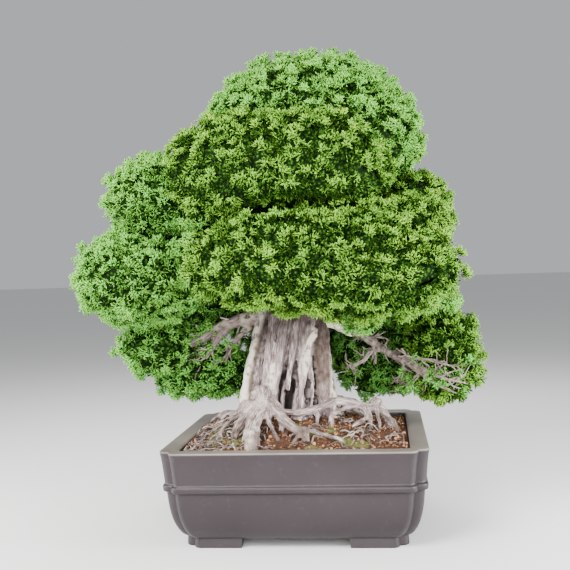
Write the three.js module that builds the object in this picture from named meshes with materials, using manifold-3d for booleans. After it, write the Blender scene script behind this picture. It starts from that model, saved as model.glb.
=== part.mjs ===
// An old itoigawa juniper bonsai in a square unglazed stoneware pot.
//
// Millimetres, +Z up, and the front of the tree looks along -Y. Every size and place here is taken from the
// ground under the middle of the pot. At the end the whole is moved, so that the origin lies on the ground
// under the middle of the tree's overall width and depth. The pot is a hollow shell on four corner feet. It
// holds two drain screens and the soil, whose mound carries the one grown piece of wood: roots, trunk with
// its two live veins, and branches. Each branch ends in a foliage pad of its own: a dense head of pointed
// leafy tufts that cover it all over.
import * as THREE from "three";
import { ConvexHull } from "three/addons/math/ConvexHull.js";
import { mergeVertices } from "three/addons/utils/BufferGeometryUtils.js";
import Module from "manifold-3d";

const wasm = await Module();
wasm.setup();

// Driving dimensions of the pot
const POT_HALF = 200; // half the width over the rim, the same in X and Y
const POT_HEIGHT = 148;
const FOOT_HEIGHT = 15;
const FOOT_HALF = 167.5; // half the width over the feet at the ground
const FOOT_WALL = 21; // how thick the wall of a foot is
const FOOT_GAP_HALF = 82; // half the clear way between two feet at the ground
const FOOT_GAP_SLOPE = 3; // the clear way narrows by this much at its top
const RIM_WIDTH = 28; // flat inward lip
const LIP_DEPTH = 12;
const BELT_Z = 92;
const BELT_RISE = 3.4;
const FLOOR_TOP = 29;
const CORNER_NOTCH = 16; // how far the corner crease is set in from both faces
const CORNER_LOBE = 13; // width of the round lobe beside the crease
const INNER_CORNER = 14;
const DRAIN_R = 17;
const DRAIN_X = 88; // the two drain holes are on the X axis at this distance

// Driving dimensions of the soil and of the small clear gap that touching pieces keep
const GAP = 0.35;
const SCREEN_SIZE = 48;
const SCREEN_THICK = 1.6;
const SOIL_EDGE_Z = 140;
const MOUND = { x: -25, y: 0, rise: 44, sx: 115, sy: 85 };
const SOIL_STEP = 25; // size of a soil crumb in the relief of the surface
const CRUMB_RISE = 1.7;

// Driving dimensions of the foliage
const PAD_POWER = 2.35; // 2 is an ellipsoid, more is a fuller dome
const PAD_CLEAR = 0.03; // share of a pad's size kept clear towards its neighbour
const TUFT_SPACING = 32; // between tufts on the outside of a pad
const UNDER_SPACING = 50; // between tufts on its underside
const SEAM_SPACING = 90; // between corners of the bare core, where pads press together
const TUFT_HEIGHT = 24;
const TUFT_ROOM = 0.035; // share of a pad's size that its core is smaller, to leave room for the tufts
const CLUMP_SIZE = 92;
const CLUMP_RISE = 0.045; // share of the pad's size

// A repeatable source of random numbers from 0 to 1.
function seeded(seed) {
  let state = seed >>> 0;
  return () => {
    state = (state + 0x6d2b79f5) >>> 0;
    let t = state;
    t = Math.imul(t ^ (t >>> 15), t | 1);
    t ^= t + Math.imul(t ^ (t >>> 7), t | 61);
    return ((t ^ (t >>> 14)) >>> 0) / 4294967296;
  };
}

const v3 = (p) => new THREE.Vector3(p[0], p[1], p[2]);

// A closed solid from corner points and triangles.
function solidFrom(points, triangles) {
  const geometry = new THREE.BufferGeometry();
  geometry.setAttribute("position", new THREE.Float32BufferAttribute(points.flat(), 3));
  geometry.setIndex(triangles.flat());
  return solidOf(geometry);
}

// A closed three.js geometry as a solid that can be cut and joined.
function solidOf(geometry) {
  const bare = geometry.clone();
  bare.deleteAttribute("normal");
  bare.deleteAttribute("uv");
  const merged = mergeVertices(bare, 1e-4);
  return new wasm.Manifold(
    new wasm.Mesh({
      numProp: 3,
      vertProperties: merged.getAttribute("position").array,
      triVerts: new Uint32Array(merged.index.array),
    }),
  );
}

// A solid as a named three.js mesh. A scrap that a cut leaves loose is dropped.
function meshOf(name, solid, material) {
  const bodies = solid.decompose().sort((a, b) => b.volume() - a.volume());
  const mesh = bodies[0].getMesh();
  const points = new Float32Array(mesh.numVert * 3);
  for (let i = 0; i < mesh.numVert; i++)
    points.set(mesh.vertProperties.subarray(i * mesh.numProp, i * mesh.numProp + 3), i * 3);
  const geometry = new THREE.BufferGeometry();
  geometry.setAttribute("position", new THREE.BufferAttribute(points, 3));
  geometry.setIndex(new THREE.BufferAttribute(mesh.triVerts, 1));
  geometry.computeVertexNormals();
  const made = new THREE.Mesh(geometry, material);
  made.name = name;
  return made;
}

// Joins rings of equally many points, listed anticlockwise from above, into a skin with a flat cap at each end.
function loft(rings) {
  const n = rings[0].length;
  const points = rings.flat();
  const triangles = [];
  for (let k = 0; k + 1 < rings.length; k++)
    for (let i = 0; i < n; i++) {
      const j = (i + 1) % n;
      const [a, b, c, d] = [k * n + i, k * n + j, (k + 1) * n + j, (k + 1) * n + i];
      triangles.push([a, b, c], [a, c, d]);
    }
  const centre = (ring) => ring.reduce((s, p) => s.map((v, i) => v + p[i] / n), [0, 0, 0]);
  points.push(centre(rings[0]), centre(rings[rings.length - 1]));
  const [low, high] = [points.length - 2, points.length - 1];
  const last = (rings.length - 1) * n;
  for (let i = 0; i < n; i++) {
    const j = (i + 1) % n;
    triangles.push([low, j, i], [high, last + i, last + j]);
  }
  return solidFrom(points, triangles);
}

// A tapering limb along a smooth curve: stations are [x, y, z, radius], and the ends are closed.
function limb(stations, sides, steps, extra = 0, turn = 0) {
  const curve = new THREE.CatmullRomCurve3(stations.map(v3), false, "centripetal");
  const frames = curve.computeFrenetFrames(steps);
  const rings = [];
  for (let k = 0; k <= steps; k++) {
    const u = k / steps;
    const place = curve.getUtoTmapping(u) * (stations.length - 1);
    const i = Math.min(stations.length - 2, Math.floor(place));
    const radius = THREE.MathUtils.lerp(stations[i][3], stations[i + 1][3], place - i) + extra;
    const centre = curve.getPointAt(u);
    const along = frames.tangents[k];
    if (extra && (k === 0 || k === steps)) centre.addScaledVector(along, k ? extra : -extra);
    const ring = [];
    for (let s = 0; s < sides; s++) {
      const a = turn + (2 * Math.PI * s) / sides;
      const p = centre
        .clone()
        .addScaledVector(frames.normals[k], radius * Math.cos(a))
        .addScaledVector(frames.binormals[k], radius * Math.sin(a));
      ring.push([p.x, p.y, p.z]);
    }
    rings.push(ring);
  }
  return loft(rings);
}

const joined = (solids) => wasm.Manifold.union(solids);

// The pot

// The plan of the outside: a square whose corners are two round lobes that meet in a crease on the diagonal.
function notchedPlan(half, z) {
  const scale = half / POT_HALF;
  const notch = CORNER_NOTCH * scale;
  const lobe = CORNER_LOBE * scale;
  const arc = [0, 30, 60, 90].map((d) => THREE.MathUtils.degToRad(d));
  const first = arc.map((a) => [
    half - notch - lobe + lobe * Math.sin(a),
    -half + notch * (1 - Math.cos(a)),
  ]);
  const corner = [...first, ...first.slice(0, -1).reverse().map(([x, y]) => [-y, -x])];
  return fourCorners(corner, z);
}

// The plan of the inside: a square with plain round corners, of as many points as the outside.
function roundPlan(half, z, radius = INNER_CORNER) {
  const corner = [];
  for (let k = 0; k <= 6; k++) {
    const a = -Math.PI / 2 + (k * Math.PI) / 12;
    corner.push([half - radius + radius * Math.cos(a), -half + radius + radius * Math.sin(a)]);
  }
  return fourCorners(corner, z);
}

// Turns the front right corner round to the other three, anticlockwise from above.
function fourCorners(corner, z) {
  const turned = [0, 1, 2, 3].map((q) =>
    corner.map(([x, y]) => [[x, y], [-y, x], [-x, -y], [y, -x]][q]),
  );
  return turned.flat().map(([x, y]) => [x, y, z]);
}

// Height and half width of the outside, from the foot of the wall to the rim.
const WALL = [
  [FOOT_HEIGHT, 167],
  [FOOT_HEIGHT + 3, 171],
  [32, 179],
  [50, 185.5],
  [70, 189.5],
  [BELT_Z - 6, 192],
  [BELT_Z - 4, 192 + BELT_RISE],
  [BELT_Z, 194 + BELT_RISE],
  [BELT_Z + 4, 193 + BELT_RISE],
  [BELT_Z + 6.5, 194],
  [POT_HEIGHT - 14, 197.5],
  [POT_HEIGHT - 2, POT_HALF],
  [POT_HEIGHT, POT_HALF - 2],
];

// Height and half width of the cavity, from the rim's inner edge down to the floor.
const LIP_HALF = POT_HALF - RIM_WIDTH;
const CAVITY = [
  [POT_HEIGHT, LIP_HALF + 1.5],
  [POT_HEIGHT - 1.5, LIP_HALF],
  [POT_HEIGHT - LIP_DEPTH, LIP_HALF],
  [POT_HEIGHT - LIP_DEPTH - 7, LIP_HALF + 9],
  [70, LIP_HALF + 5],
  [40, LIP_HALF - 8],
  [FLOOR_TOP, LIP_HALF - 20],
];

function potSolid() {
  const body = loft([
    ...WALL.map(([z, half]) => notchedPlan(half, z)),
    ...CAVITY.map(([z, half]) => roundPlan(half, z)),
  ]);
  const sunk = 1.5; // the feet run this far up into the body
  const top = FOOT_HEIGHT + sunk;
  const feet = loft([notchedPlan(FOOT_HALF, 0), notchedPlan(FOOT_HALF - 1, top)]).subtract(
    loft([
      roundPlan(FOOT_HALF - FOOT_WALL, -1, 20),
      roundPlan(FOOT_HALF - FOOT_WALL - 1, top + 1, 20),
    ]),
  );
  const way = new THREE.Shape([
    new THREE.Vector2(-FOOT_GAP_HALF, -1),
    new THREE.Vector2(FOOT_GAP_HALF, -1),
    new THREE.Vector2(FOOT_GAP_HALF - FOOT_GAP_SLOPE, top + 1),
    new THREE.Vector2(-FOOT_GAP_HALF + FOOT_GAP_SLOPE, top + 1),
  ]);
  const bar = new THREE.ExtrudeGeometry(way, { depth: 2 * POT_HALF, bevelEnabled: false });
  bar.translate(0, 0, -POT_HALF);
  bar.rotateX(Math.PI / 2);
  const along = solidOf(bar);
  const across = solidOf(bar.clone().rotateZ(Math.PI / 2));
  let pot = body.add(feet.subtract(along).subtract(across));
  for (const x of [-DRAIN_X, DRAIN_X]) {
    const drill = new THREE.CylinderGeometry(DRAIN_R, DRAIN_R, 2 * FLOOR_TOP, 20);
    drill.rotateX(Math.PI / 2);
    drill.translate(x, 0, FOOT_HEIGHT);
    pot = pot.subtract(solidOf(drill));
  }
  return pot;
}

// A square of plastic mesh that keeps the soil in over a drain hole.
function drainScreen(x) {
  const bars = 3;
  const width = 3;
  const pitch = (SCREEN_SIZE - width) / (bars - 1);
  const lattice = [];
  for (let i = 0; i < bars; i++) {
    const aside = i * pitch - (SCREEN_SIZE - width) / 2;
    const z = FLOOR_TOP + GAP + SCREEN_THICK / 2;
    const along = new THREE.BoxGeometry(SCREEN_SIZE, width, SCREEN_THICK).translate(x, aside, z);
    const across = new THREE.BoxGeometry(width, SCREEN_SIZE, SCREEN_THICK).translate(x + aside, 0, z);
    lattice.push(solidOf(along), solidOf(across));
  }
  return joined(lattice);
}

// The soil: it fills the cavity up under the lip, and rises in a mound round the trunk.
function soilHeight(x, y) {
  const edge = Math.min(1, Math.max(Math.abs(x), Math.abs(y)) / LIP_HALF);
  const spread = ((x - MOUND.x) / MOUND.sx) ** 2 + ((y - MOUND.y) / MOUND.sy) ** 2;
  return SOIL_EDGE_Z + MOUND.rise * Math.exp(-spread / 2) * (1 - 0.55 * edge ** 6);
}

function soilSolid() {
  const random = seeded(11);
  const reach = LIP_HALF + 12;
  const n = Math.round((2 * reach) / SOIL_STEP);
  const cell = (2 * reach) / n;
  const points = [];
  const triangles = [];
  for (let j = 0; j <= n; j++)
    for (let i = 0; i <= n; i++) {
      const rim = i === 0 || j === 0 || i === n || j === n;
      const wander = () => (rim ? 0 : (random() - 0.5) * 0.7 * cell);
      const x = -reach + i * cell + wander();
      const y = -reach + j * cell + wander();
      points.push([x, y, soilHeight(x, y) + (2 * random() - 1) * CRUMB_RISE]);
    }
  const at = (i, j) => j * (n + 1) + i;
  for (let j = 0; j < n; j++)
    for (let i = 0; i < n; i++) {
      const [a, b, c, d] = [at(i, j), at(i + 1, j), at(i + 1, j + 1), at(i, j + 1)];
      triangles.push([a, b, c], [a, c, d]);
    }
  const border = [];
  for (let i = 0; i < n; i++) border.push(at(i, 0));
  for (let j = 0; j < n; j++) border.push(at(n, j));
  for (let i = n; i > 0; i--) border.push(at(i, n));
  for (let j = n; j > 0; j--) border.push(at(0, j));
  const foot = points.length;
  border.forEach((k) => points.push([points[k][0], points[k][1], 0]));
  points.push([0, 0, 0]);
  border.forEach((k, i) => {
    const next = (i + 1) % border.length;
    triangles.push([foot + i, foot + next, border[next]], [foot + i, border[next], k]);
    triangles.push([points.length - 1, foot + next, foot + i]);
  });
  const surface = solidFrom(points, triangles);
  const [lipFoot, lipRoot, ...wall] = CAVITY.slice(2, -1);
  const fill = [
    [FLOOR_TOP + SCREEN_THICK + 2 * GAP, LIP_HALF - 18.5],
    ...wall.reverse().map(([z, half]) => [z, half - 1.3 * GAP]),
    [lipRoot[0] - GAP, lipRoot[1] - GAP],
    [lipFoot[0], lipFoot[1] - GAP],
    [POT_HEIGHT + 60, LIP_HALF - GAP],
  ];
  const cavity = loft(fill.map(([z, half]) => roundPlan(half, z, INNER_CORNER - GAP)));
  return surface.intersect(cavity);
}

// The wood

// The trunk's slices: height, centre in X and Y, and half widths in X and Y.
const TRUNK = [
  [96, -20, 4, 62, 52],
  [160, -17, 4, 88, 66],
  [182, -17, 4, 80, 59],
  [204, -19, 5, 75, 54],
  [232, -20, 5, 72, 51],
  [262, -18, 6, 66, 48],
  [292, -14, 8, 61, 45],
  [322, -10, 10, 56, 42],
  [352, -4, 12, 50, 39],
  [400, 6, 18, 42, 35],
  [460, 24, 30, 34, 30],
  [530, 44, 46, 25, 23],
  [600, 56, 58, 15, 14],
  [655, 60, 62, 7, 7],
];
const TRUNK_SIDES = 30;

// The weathered front: flutes of bare wood with dark clefts between them. Each cleft runs from foot to tip
// as [height, angle in degrees], with its half width in degrees and its depth as a share of the radius.
const CLEFTS = [
  { foot: [186, 268], tip: [300, 291], wide: 7, deep: 0.34 },
  { foot: [182, 306], tip: [262, 304], wide: 5.5, deep: 0.36 },
  { foot: [230, 246], tip: [345, 252], wide: 5, deep: 0.13 },
  { foot: [240, 284], tip: [350, 300], wide: 5, deep: 0.12 },
];

function trunkSwell(angle, z) {
  const front = Math.max(0, -Math.sin(THREE.MathUtils.degToRad(angle)));
  const flare = Math.max(0, (205 - z) / 60);
  const twist = 0.12 * (z - 180);
  const round = (k, shift) => Math.cos(THREE.MathUtils.degToRad(k * (angle + shift) - twist));
  let swell = 1 + 0.035 * front * round(15, 4) + 0.02 * round(7, 20) + 0.1 * flare * round(5, 12);
  for (const cleft of CLEFTS) {
    const share = (z - cleft.foot[0]) / (cleft.tip[0] - cleft.foot[0]);
    if (share < -0.12 || share > 1.02) continue;
    const middle = THREE.MathUtils.lerp(cleft.foot[1], cleft.tip[1], share);
    const narrow = Math.min(1, 1.25 * (1.02 - share) + 0.2);
    const away = Math.abs(angle - middle) / (cleft.wide * narrow);
    if (away < 1) swell -= cleft.deep * narrow * (1 - away * away);
  }
  return swell;
}

function trunkSolid(extra) {
  const rings = TRUNK.map(([z, x, y, a, b]) => {
    const ring = [];
    for (let s = 0; s < TRUNK_SIDES; s++) {
      const angle = (360 * s) / TRUNK_SIDES;
      const swell = trunkSwell(angle, z);
      const t = THREE.MathUtils.degToRad(angle);
      ring.push([x + (a * swell + extra) * Math.cos(t), y + (b * swell + extra) * Math.sin(t), z]);
    }
    return ring;
  });
  rings[rings.length - 1].forEach((p) => (p[2] += extra));
  rings[0].forEach((p) => (p[2] -= extra));
  return loft(rings);
}

// Live veins, branches and roots as stations of [x, y, z, radius].
const VEINS = [
  [
    [-92, -14, 120, 22], [-90, -12, 165, 21], [-83, -10, 200, 19], [-76, -8, 245, 17],
    [-66, -4, 295, 15], [-56, 0, 345, 14], [-36, 10, 410, 12], [4, 24, 470, 8],
  ],
  [
    [60, -12, 120, 20], [50, -16, 165, 22], [40, -19, 200, 20], [37, -18, 245, 17.5],
    [35, -14, 290, 16], [36, -6, 325, 15], [38, 8, 365, 12], [36, 22, 420, 8],
  ],
];

const BRANCHES = {
  upper_front: [[30, 20, 500, 13], [5, -15, 540, 11], [-30, -50, 565, 8], [-60, -70, 575, 4]],
  front: [[-4, -5, 365, 16], [15, -60, 380, 13], [40, -110, 395, 9], [80, -135, 398, 4]],
  front_left: [[-10, -5, 372, 12], [-50, -60, 385, 9], [-95, -105, 402, 5]],
  upper_left: [[14, 20, 440, 14], [-70, 10, 475, 12], [-160, 0, 510, 9], [-235, -5, 535, 4]],
  left: [[-20, 5, 385, 15], [-100, -20, 392, 12], [-190, -50, 396, 9], [-265, -70, 400, 4]],
  left_low: [
    [-45, 4, 335, 15], [-90, 2, 332, 12], [-126, 6, 322, 10], [-170, 12, 300, 8], [-215, 20, 279, 6],
    [-262, 30, 272, 3],
  ],
  left_fork: [[-118, 4, 322, 7], [-138, -4, 298, 5.5], [-156, 2, 274, 4.5], [-172, 22, 244, 3]],
  left_twig: [
    [-80, 4, 320, 5], [-106, 6, 300, 4.5], [-119, 4, 284, 4], [-126, 12, 262, 3.5],
    [-132, 28, 236, 2.5],
  ],
  right_low: [
    [30, 0, 330, 15], [56, 0, 322, 12], [84, 10, 311, 9.5], [114, 20, 291, 8.5], [146, 30, 268, 7.5],
    [174, 40, 245, 6], [207, 50, 228, 5], [250, 56, 226, 3],
  ],
  right_fork: [[138, 27, 274, 5], [118, 8, 273, 4.5], [104, 2, 259, 4], [84, -8, 250, 3]],
  right_back_fork: [[150, 31, 266, 5.5], [172, 48, 268, 4.5], [192, 66, 262, 4], [205, 96, 262, 2.5]],
  right_drop: [[178, 42, 243, 4.5], [170, 34, 226, 4], [164, 30, 208, 3], [168, 46, 192, 2]],
  right_curtain: [[60, 10, 322, 8], [92, 60, 304, 7], [122, 110, 285, 6], [150, 150, 268, 3.5]],
  right_mid: [[22, 22, 440, 12], [90, 0, 458, 10], [165, -35, 470, 5]],
  right_back: [[28, 32, 465, 12], [100, 52, 478, 10], [190, 74, 496, 5]],
  back_mid: [[26, 38, 455, 14], [26, 100, 480, 11], [20, 175, 505, 5]],
  back_left: [[-14, 22, 375, 13], [-80, 90, 372, 10], [-150, 160, 368, 5]],
  back_right: [[14, 24, 385, 12], [65, 95, 388, 10], [118, 170, 392, 5]],
  back_low: [[-10, 28, 322, 11], [-20, 100, 304, 9], [-30, 170, 288, 4]],
};

// The great roots at the front, each down into the soil.
const ROOTS = {
  knuckle: [
    [-62, -32, 200, 19], [-60, -52, 212, 17], [-54, -72, 209, 15], [-56, -88, 197, 13],
    [-64, -104, 182, 12], [-66, -128, 166, 12], [-63, -148, 149, 12.5], [-62, -154, 122, 9],
  ],
  outer_finger: [
    [-58, -70, 209, 9], [-74, -84, 193, 8], [-89, -97, 172, 7.5], [-96, -116, 157, 6.5],
    [-100, -126, 128, 4],
  ],
  inner_finger: [
    [-50, -72, 209, 10], [-30, -93, 190, 9], [-7, -111, 172, 8], [13, -124, 158, 7.5],
    [25, -132, 128, 5],
  ],
  crook: [
    [-54, -66, 211, 8], [-36, -74, 204, 6.5], [-25, -82, 189, 6], [-24, -92, 173, 5.5],
    [-26, -98, 134, 4],
  ],
  middle_finger: [
    [-46, -96, 192, 5.5], [-40, -110, 174, 5], [-30, -122, 159, 4.5], [-18, -134, 128, 3.5],
  ],
  runner: [
    [0, -116, 166, 4.5], [14, -115, 168, 4.5], [28, -117, 164, 4.5], [50, -125, 158, 4],
    [72, -134, 151, 3.8], [84, -140, 128, 3],
  ],
  toe: [[10, -122, 161, 4.5], [0, -135, 154, 4], [-8, -145, 128, 3]],
  arch: [
    [-46, -40, 192, 6], [-25, -60, 186, 5.5], [7, -60, 185, 6], [40, -50, 193, 6.5], [60, -42, 199, 7],
    [87, -30, 193, 7], [107, -20, 187, 7.5], [124, -10, 183, 8.5], [137, -10, 172, 6.5],
    [149, -16, 128, 5],
  ],
  arch_drop_1: [[29, -53, 190, 4.5], [30, -61, 177, 4], [29, -70, 162, 3.5], [29, -73, 128, 3]],
  arch_drop_2: [[57, -43, 198, 5], [52, -58, 178, 4.5], [53, -73, 161, 4], [53, -77, 128, 3]],
  arch_link: [[51, -57, 179, 4], [66, -52, 186, 4.2], [83, -44, 189, 4.2], [100, -27, 189, 4.5]],
  arch_drop_3: [
    [98, -28, 188, 5.5], [107, -43, 174, 5], [97, -54, 167, 4.5], [84, -62, 160, 4.5],
    [72, -68, 128, 3],
  ],
  arch_drop_4: [[108, -22, 185, 5], [112, -34, 172, 4.5], [114, -46, 158, 4], [116, -50, 128, 3]],
  arch_drop_5: [[119, -13, 184, 5], [126, -28, 171, 4.5], [129, -40, 156, 4], [131, -46, 128, 3]],
  arch_drop_6: [[129, -10, 181, 5], [143, -18, 168, 4.5], [153, -28, 154, 4], [158, -34, 128, 3]],
  burl: [[112, -14, 178, 10], [121, -10, 189, 11], [126, -9, 198, 8.5]],
  right_flare: [[44, -6, 196, 13], [68, 0, 190, 10], [96, 8, 172, 8], [120, 16, 134, 6]],
  left_flare: [[-86, -18, 192, 14], [-102, -26, 174, 10], [-120, -40, 150, 8], [-130, -46, 124, 6]],
};

// Fine surface roots that crawl over the mound, fanned by a rule: start angle, turn and reach of each.
function crawlingRoots() {
  const random = seeded(29);
  const made = [];
  const fans = [
    { from: 150, to: 238, count: 6, reach: [58, 96], radius: 4.2 },
    { from: 30, to: 140, count: 3, reach: [45, 70], radius: 5.5 },
  ];
  for (const fan of fans)
    for (let k = 0; k < fan.count; k++) {
      const heading = THREE.MathUtils.degToRad(fan.from + ((fan.to - fan.from) * (k + 0.5)) / fan.count);
      const bend = (random() - 0.5) * 1.1;
      const reach = THREE.MathUtils.lerp(fan.reach[0], fan.reach[1], random());
      const stations = [];
      const knots = 4;
      for (let i = 0; i <= knots; i++) {
        const s = i / knots;
        const a = heading + bend * s * s + (random() - 0.5) * 0.16;
        const x = -17 + (70 + reach * s) * Math.cos(a);
        const y = 4 + (48 + reach * s) * Math.sin(a);
        const hop = Math.sin(Math.PI * s) * (4 + 7 * random());
        const z = i === knots ? 128 : soilHeight(x, y) + (i ? hop + 1 : 6);
        stations.push([x, y, z, fan.radius * (1.15 - 0.5 * s)]);
      }
      made.push(stations);
    }
  return made;
}

// Roots that go down inside the soil from the foot of the trunk.
function buriedRoots() {
  const made = [];
  const count = 5;
  for (let k = 0; k < count; k++) {
    const a = (2 * Math.PI * (k + 0.3)) / count;
    const at = (r, z, radius) => [-18 + r * Math.cos(a), 4 + 0.85 * r * Math.sin(a), z, radius];
    made.push([at(40, 118, 15), at(78, 92, 11), at(112, 66, 7), at(132, 50, 4)]);
  }
  return made;
}

function lowerWood(extra) {
  return [
    trunkSolid(extra),
    ...VEINS.map((s) => limb(s, 8, 9, extra)),
    ...Object.values(ROOTS).map((s) => limb(s, s[0][3] > 12 ? 7 : 5, s.length + 1, extra, 0.4)),
    ...crawlingRoots().map((s) => limb(s, 4, 5, extra)),
    ...buriedRoots().map((s) => limb(s, 4, 3, extra)),
  ];
}

function upperWood(extra) {
  return Object.values(BRANCHES).map((s) => limb(s, s[0][3] > 9 ? 6 : 5, s.length, extra, 0.3));
}

// The foliage

// Each pad: its middle, half widths in X and Y, rise and drop, and how far its right side hangs, in degrees.
const PADS = {
  apex: { at: [24, 62, 602], half: [180, 160], rise: 164, drop: 70, hang: 0 },
  upper_front: { at: [-24, -48, 540], half: [184, 140], rise: 122, drop: 62, hang: 0 },
  front: { at: [48, -128, 402], half: [206, 102], rise: 100, drop: 56, hang: 6 },
  upper_left: { at: [-206, 0, 524], half: [98, 128], rise: 80, drop: 60, hang: -6 },
  left: { at: [-242, -62, 402], half: [102, 118], rise: 70, drop: 66, hang: 0 },
  left_end: { at: [-244, 44, 284], half: [62, 84], rise: 52, drop: 56, hang: 0 },
  left_low: { at: [-168, 70, 236], half: [98, 86], rise: 36, drop: 36, hang: 0 },
  right_end: { at: [236, 56, 256], half: [54, 88], rise: 84, drop: 80, hang: 0 },
  right_curtain: { at: [136, 148, 258], half: [92, 58], rise: 76, drop: 78, hang: 0 },
  right_back: { at: [188, 78, 490], half: [62, 98], rise: 84, drop: 76, hang: 0 },
  right_mid: { at: [172, -44, 466], half: [66, 88], rise: 60, drop: 52, hang: 6 },
  back_mid: { at: [20, 192, 500], half: [172, 88], rise: 98, drop: 76, hang: 0 },
  back_left: { at: [-166, 158, 372], half: [122, 98], rise: 78, drop: 56, hang: -5 },
  back_right: { at: [128, 184, 386], half: [122, 86], rise: 62, drop: 46, hang: 5 },
  back_low: { at: [-28, 190, 284], half: [88, 60], rise: 46, drop: 54, hang: 0 },
};

// How far a point lies from the middle of a pad: 1 on its surface, less inside, more outside.
function padDistance(pad, p) {
  const t = THREE.MathUtils.degToRad(pad.hang);
  const [dx, dy, dz] = [p[0] - pad.at[0], p[1] - pad.at[1], p[2] - pad.at[2]];
  const x = dx * Math.cos(t) - dz * Math.sin(t);
  const z = dx * Math.sin(t) + dz * Math.cos(t);
  const share = [x / pad.half[0], dy / pad.half[1], z / (z > 0 ? pad.rise : pad.drop)];
  return share.reduce((s, q) => s + Math.abs(q) ** PAD_POWER, 0) ** (1 / PAD_POWER);
}

// True where a point at that distance in its own pad is clear of every other pad.
function clearOfOthers(pad, p, distance, margin) {
  return Object.values(PADS).every((q) => q === pad || distance + margin <= padDistance(q, p));
}

// Clumps of shoots swell the surface of a pad by a formula: a few waves that run across each other.
function clumpSwell(p, seed) {
  const k = (2 * Math.PI) / CLUMP_SIZE;
  const wave = (a, b, c, d) => Math.sin(k * (a * p[0] + b * p[1] + c * p[2]) + d + seed);
  return CLUMP_RISE * (wave(1, 0.3, 0.2, 0) * wave(-0.2, 1, 0.4, 2) + wave(0.5, -0.6, 0.8, 4)) * 0.6;
}

// Where the surface of a pad lies in a direction, and whether it is out in the open there.
function padSurface(pad, direction, seed) {
  const far = padDistance(pad, pad.at.map((v, i) => v + direction[i]));
  const point = (t) => pad.at.map((v, i) => v + (direction[i] / far) * t);
  const full = 1 - TUFT_ROOM + clumpSwell(point(1), seed);
  let t = full;
  while (t > 0.1 && !clearOfOthers(pad, point(t), t, PAD_CLEAR)) t -= 0.02;
  return { p: point(t), open: t === full };
}

// Spreads corners over a pad, closer in the open than underneath or in a seam.
function padCorners(pad, seed) {
  const random = seeded(seed);
  const tries = 5200;
  const golden = Math.PI * (3 - Math.sqrt(5));
  const order = Array.from({ length: tries }, (_, k) => [random(), k]).sort((a, b) => a[0] - b[0]);
  const kept = [];
  for (const [, k] of order) {
    const h = 1 - (2 * (k + 0.5)) / tries;
    const w = Math.sqrt(1 - h * h);
    const size = [...pad.half, h > 0 ? pad.rise : pad.drop];
    const direction = [w * Math.cos(golden * k), w * Math.sin(golden * k), h].map((v, i) => v * size[i]);
    const { p, open } = padSurface(pad, direction, seed);
    const under = h < -0.45;
    const spacing = !open ? SEAM_SPACING : under ? UNDER_SPACING : TUFT_SPACING;
    const near = (q) => (p[0] - q.p[0]) ** 2 + (p[1] - q.p[1]) ** 2 + (p[2] - q.p[2]) ** 2;
    if (kept.every((q) => near(q) > Math.min(spacing, q.spacing) ** 2))
      kept.push({ p, open, under, spacing, ray: v3(direction).normalize() });
  }
  return kept;
}

// A pad: its corners are joined to a closed skin, and each open triangle of it is drawn out to a pointed tuft.
function padSkin(pad, seed) {
  const random = seeded(seed + 1000);
  const corners = padCorners(pad, seed);
  const hull = new ConvexHull().setFromPoints(corners.map((c, i) => Object.assign(c.ray, { id: i })));
  const points = corners.map((c) => c.p);
  const triangles = [];
  for (const face of hull.faces) {
    const ids = [face.edge.tail().point.id, face.edge.head().point.id, face.edge.next.head().point.id];
    const [a, b, c] = ids.map((i) => v3(points[i]));
    const normal = new THREE.Vector3().crossVectors(b.clone().sub(a), c.clone().sub(a));
    const size = Math.sqrt(normal.length() / 2);
    normal.normalize();
    const middle = a.clone().add(b).add(c).divideScalar(3);
    const openCount = ids.filter((i) => corners[i].open).length;
    const lean = normal.clone().addScaledVector(new THREE.Vector3(0, 0, 1), normal.z > -0.3 ? 0.28 : -0.15);
    lean.x += 0.16 * (random() - 0.5);
    lean.y += 0.16 * (random() - 0.5);
    lean.normalize();
    let height = Math.min(TUFT_HEIGHT, 1.15 * size) * (0.78 + 0.44 * random());
    const tip = () => middle.clone().addScaledVector(lean, height).toArray();
    while (height > 3 && !clearOfOthers(pad, tip(), padDistance(pad, tip()), 0.01)) height *= 0.75;
    if (openCount < 2 || height <= 3) {
      triangles.push(ids);
      continue;
    }
    points.push(tip());
    const top = points.length - 1;
    triangles.push([ids[0], ids[1], top], [ids[1], ids[2], top], [ids[2], ids[0], top]);
  }
  return { points, triangles };
}

// A pad's skin as a solid, grown a little from the pad's middle where a neighbour is trimmed back from it.
function padSolid(pad, skin, growth = 1) {
  const points = skin.points.map((p) => p.map((v, i) => pad.at[i] + growth * (v - pad.at[i])));
  return solidFrom(points, skin.triangles);
}

// The whole tree in its pot

const standard = (color, roughness, metalness = 0) =>
  new THREE.MeshStandardMaterial({ color, roughness, metalness });
const STONEWARE = standard(0x84757a, 0.5);
const SOIL = standard(0x7c5741, 0.95);
const SCREEN = standard(0x2b2d2c, 0.6);
const WOOD = standard(0xb3a39c, 0.8);
const FOLIAGE = standard(0x55893a, 0.7);

const tree = new THREE.Group();
tree.add(meshOf("pot", potSolid(), STONEWARE));
tree.add(meshOf("drain_screen_left", drainScreen(-DRAIN_X), SCREEN));
tree.add(meshOf("drain_screen_right", drainScreen(DRAIN_X), SCREEN));
tree.add(meshOf("soil", soilSolid().subtract(joined(lowerWood(GAP + 0.15))), SOIL));
tree.add(meshOf("trunk_and_roots", joined([...lowerWood(0), ...upperWood(0)]), WOOD));

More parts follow.
